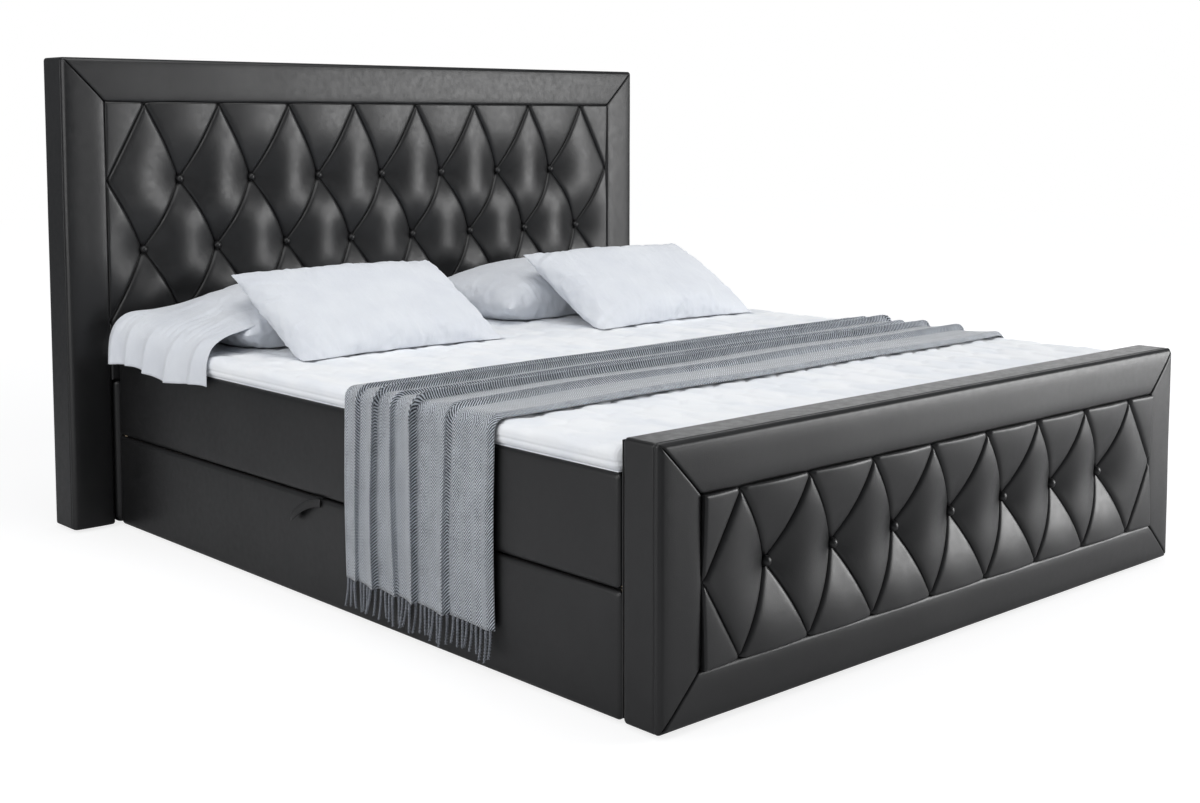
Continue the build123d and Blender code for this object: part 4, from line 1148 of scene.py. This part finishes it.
def foam_look():
    """Open cell foam."""
    look = Look("foam", (0.9, 0.88, 0.8), 0.95)
    pores = look.cells(420.0)
    look.colour(pores, (0.2, (0.70, 0.67, 0.56)), (0.6, (0.88, 0.86, 0.77)))
    look.bump((pores, 0.6, 0.002))


def topper_look():
    """White knitted ticking with fine ribs and faint woven patches."""
    look = Look("topper_cloth", (0.84, 0.86, 0.89), 0.85, Sheen_Weight=0.15, Sheen_Roughness=0.5)
    parts = look.add("ShaderNodeSeparateXYZ", {"Vector": look.place}).outputs
    rib = look.sum("SINE", look.sum("MULTIPLY", parts["Y"], 2 * math.pi / 0.0055))
    patch = look.noise(11.0, 2.0, look.stretch((1.0, 0.55, 1.0)))
    look.colour(patch, (0.38, (0.83, 0.855, 0.895)), (0.6, (0.90, 0.915, 0.935)))
    look.bump((look.noise(30.0, 3.0), 0.12, 0.003), (rib, 0.22, 0.0007), (look.noise(1300.0, 2.0), 0.15, 0.0004))


def herringbone_look():
    """Grey and blue-grey wool woven in herringbone, flecked, with a soft nap."""
    look = Look("throw_wool", (0.3, 0.32, 0.36), 0.95, Sheen_Weight=0.55, Sheen_Roughness=0.4)
    uv = look.add("ShaderNodeUVMap", uv_map="weave").outputs["UV"]
    parts = look.add("ShaderNodeSeparateXYZ", {"Vector": uv}).outputs
    zigzag = look.sum("PINGPONG", parts["X"], WEAVE_COLUMN)
    turns = 2 * math.pi / WEAVE_PITCH
    twill = look.sum("SINE", look.sum("MULTIPLY", look.sum("ADD", parts["Y"], zigzag), turns))
    fleck = look.noise(330.0, 2.0)
    cloud = look.noise(28.0, 4.0)
    blend = look.sum("ADD", look.sum("MULTIPLY", twill, 0.34), look.sum("MULTIPLY", fleck, 0.9))
    blend = look.sum("ADD", blend, look.sum("MULTIPLY", cloud, 0.3))
    look.colour(blend, (0.36, (0.034, 0.038, 0.048)), (0.58, (0.175, 0.192, 0.222)), (0.84, (0.68, 0.72, 0.77)))
    look.bump((cloud, 0.15, 0.002), (twill, 0.35, 0.0009), (fleck, 0.35, 0.0008))


def yarn_look():
    """The same wool as twisted yarn."""
    look = Look("throw_yarn", (0.3, 0.32, 0.36), 0.95, Sheen_Weight=0.3, Sheen_Roughness=0.4)
    fleck = look.noise(700.0, 2.0)
    look.colour(fleck, (0.38, (0.06, 0.066, 0.08)), (0.6, (0.34, 0.36, 0.40)))
    look.bump((fleck, 0.4, 0.0006))


def make_looks():
    """Every material of the bed, by its slot's name."""
    leather_look()
    cloth_look("black_lining", (0.012, 0.012, 0.013), (0.032, 0.032, 0.034), 0.9, 0.0012, 0.0002, 0.2)
    cloth_look("grey_felt", (0.16, 0.16, 0.17), (0.30, 0.30, 0.31), 0.95, 0.0009, 0.0004, 0.3)
    cloth_look("spring_pockets", (0.72, 0.72, 0.71), (0.86, 0.86, 0.85), 0.9, 0.0016, 0.0002, 0.1)
    cloth_look("pillow_cotton", (0.66, 0.685, 0.735), (0.72, 0.745, 0.785), 0.8, 0.0008, 0.00012, 0.25, 0.25,
               (0.75, 0.22, 0.22), 0.026)
    board_look("chipboard", (0.36, 0.26, 0.16), (0.66, 0.53, 0.38), (1.0, 1.0, 1.0), 90.0, 0.8)
    board_look("timber", (0.50, 0.36, 0.21), (0.76, 0.62, 0.43), (0.08, 1.0, 1.0), 60.0, 0.7)
    metal_look("zinc_steel", (0.60, 0.61, 0.63), 0.38, 1.0)
    metal_look("bright_rod", (0.76, 0.76, 0.78), 0.16, 1.0)
    metal_look("black_tube", (0.025, 0.025, 0.026), 0.35, 0.0, 0.4)
    plastic_look()
    foam_look()
    topper_look()
    herringbone_look()
    yarn_look()


def dress_nodes():
    """Gives every node that still shows the material of its slot."""
    for name in sorted(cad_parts):
        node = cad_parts[name]
        if node.hide_render:
            continue
        for number, old in enumerate(list(node.data.materials)):
            slot = old.name.split(".")[0]
            node.data.materials[number] = MATERIALS[slot]


# Floor, light and camera

def make_floor():
    """A plain pale floor."""
    floor = make_piece("floor", [(-14, -14, 0), (14, -14, 0), (14, 14, 0), (-14, 14, 0)], [(0, 1, 2, 3)])
    look = Look("floor_paint", FLOOR_PAINT, 0.8)
    far = (1 - (1 - FLOOR_GLOW_SHARE) * FLOOR_PAINT[0] * WORLD_STRENGTH) / FLOOR_GLOW_SHARE
    distance = look.add("ShaderNodeVectorMath", {0: look.place}, operation="LENGTH").outputs["Value"]
    glow = look.between(distance, FLOOR_NEAR_GLOW, far, FLOOR_NEAR, FLOOR_FAR)
    white = look.add("ShaderNodeEmission", {"Color": (1, 1, 1, 1), "Strength": glow})
    seen = look.add("ShaderNodeLightPath").outputs["Is Camera Ray"]
    mix = look.add("ShaderNodeMixShader", {"Fac": look.sum("MULTIPLY", seen, FLOOR_GLOW_SHARE)})
    look.tree.links.new(look.shader.outputs[0], mix.inputs[1])
    look.tree.links.new(white.outputs[0], mix.inputs[2])
    look.tree.links.new(mix.outputs[0], look.tree.nodes["Material Output"].inputs["Surface"])
    floor.data.materials.append(look.material)


def make_world():
    """A soft pale surround, seen white behind the bed."""
    world = bpy.data.worlds.new("studio")
    bpy.context.scene.world = world
    world.use_nodes = True
    tree = world.node_tree
    soft = tree.nodes["Background"]
    soft.inputs["Color"].default_value = (0.93, 0.96, 1.0, 1)
    soft.inputs["Strength"].default_value = WORLD_STRENGTH
    white = tree.nodes.new("ShaderNodeBackground")
    white.inputs["Color"].default_value = (1, 1, 1, 1)
    white.inputs["Strength"].default_value = 1.0
    path = tree.nodes.new("ShaderNodeLightPath")
    mix = tree.nodes.new("ShaderNodeMixShader")
    tree.links.new(path.outputs["Is Camera Ray"], mix.inputs["Fac"])
    tree.links.new(soft.outputs[0], mix.inputs[1])
    tree.links.new(white.outputs[0], mix.inputs[2])
    tree.links.new(mix.outputs[0], tree.nodes["World Output"].inputs["Surface"])


def area_light(name, place, target, size, power, colour=(1, 1, 1)):
    """A square soft light that looks at a point."""
    data = bpy.data.lights.new(name, "AREA")
    data.shape = "RECTANGLE"
    data.size, data.size_y = size
    data.energy = power
    data.color = colour
    light = bpy.data.objects.new(name, data)
    light.location = place
    light.rotation_mode = "QUATERNION"
    light.rotation_quaternion = (Vector(target) - Vector(place)).to_track_quat("-Z", "Y")
    bpy.context.scene.collection.objects.link(light)


def make_lights():
    """A tall soft light before the foot end, one overhead, two at the open side and a faint one behind."""
    area_light("front", (3.9, -3.6, 1.45), (0.0, -0.5, 0.6), (2.4, 2.7), 185)
    area_light("overhead", (-0.2, -0.2, 3.4), (0.0, 0.1, 0.4), (2.6, 2.6), 52)
    area_light("left", (-3.6, -1.4, 3.0), (-0.2, 0.4, 0.6), (1.2, 1.2), 40)
    area_light("left_low", (-4.2, 0.4, 1.2), (-0.9, 0.0, 0.4), (2.0, 1.6), 36)
    area_light("behind", (4.2, 2.2, 1.4), (0.0, -1.0, 0.5), (3.4, 1.9), 30)


def make_camera():
    """The camera at the picture's place and angle."""
    data = bpy.data.cameras.new("camera")
    data.lens = CAMERA_LENS
    data.sensor_width = SENSOR_WIDTH
    data.shift_y = CAMERA_SHIFT
    camera = bpy.data.objects.new("camera", data)
    camera.location = CAMERA_PLACE
    camera.rotation_euler = (math.pi / 2 - CAMERA_TILT, 0, -CAMERA_TURN)
    bpy.context.scene.collection.objects.link(camera)
    bpy.context.scene.camera = camera


make_looks()
make_camera()
make_world()
make_lights()
make_floor()
make_rails()
tufted_panel("headboard_tufting", "headboard_tufted_panel", HEAD_TUFTS)
tufted_panel("footboard_tufting", "footboard_tufted_panel", FOOT_TUFTS)
make_buttons("headboard_covered_buttons", "headboard_buttons", HEAD_TUFTS)
make_buttons("footboard_covered_buttons", "footboard_buttons", FOOT_TUFTS)
make_covers()
make_pull_loop()
make_topper()
make_pillows()
make_flap()
make_throw()
dress_nodes()
bpy.context.scene.view_settings.view_transform = "Standard"
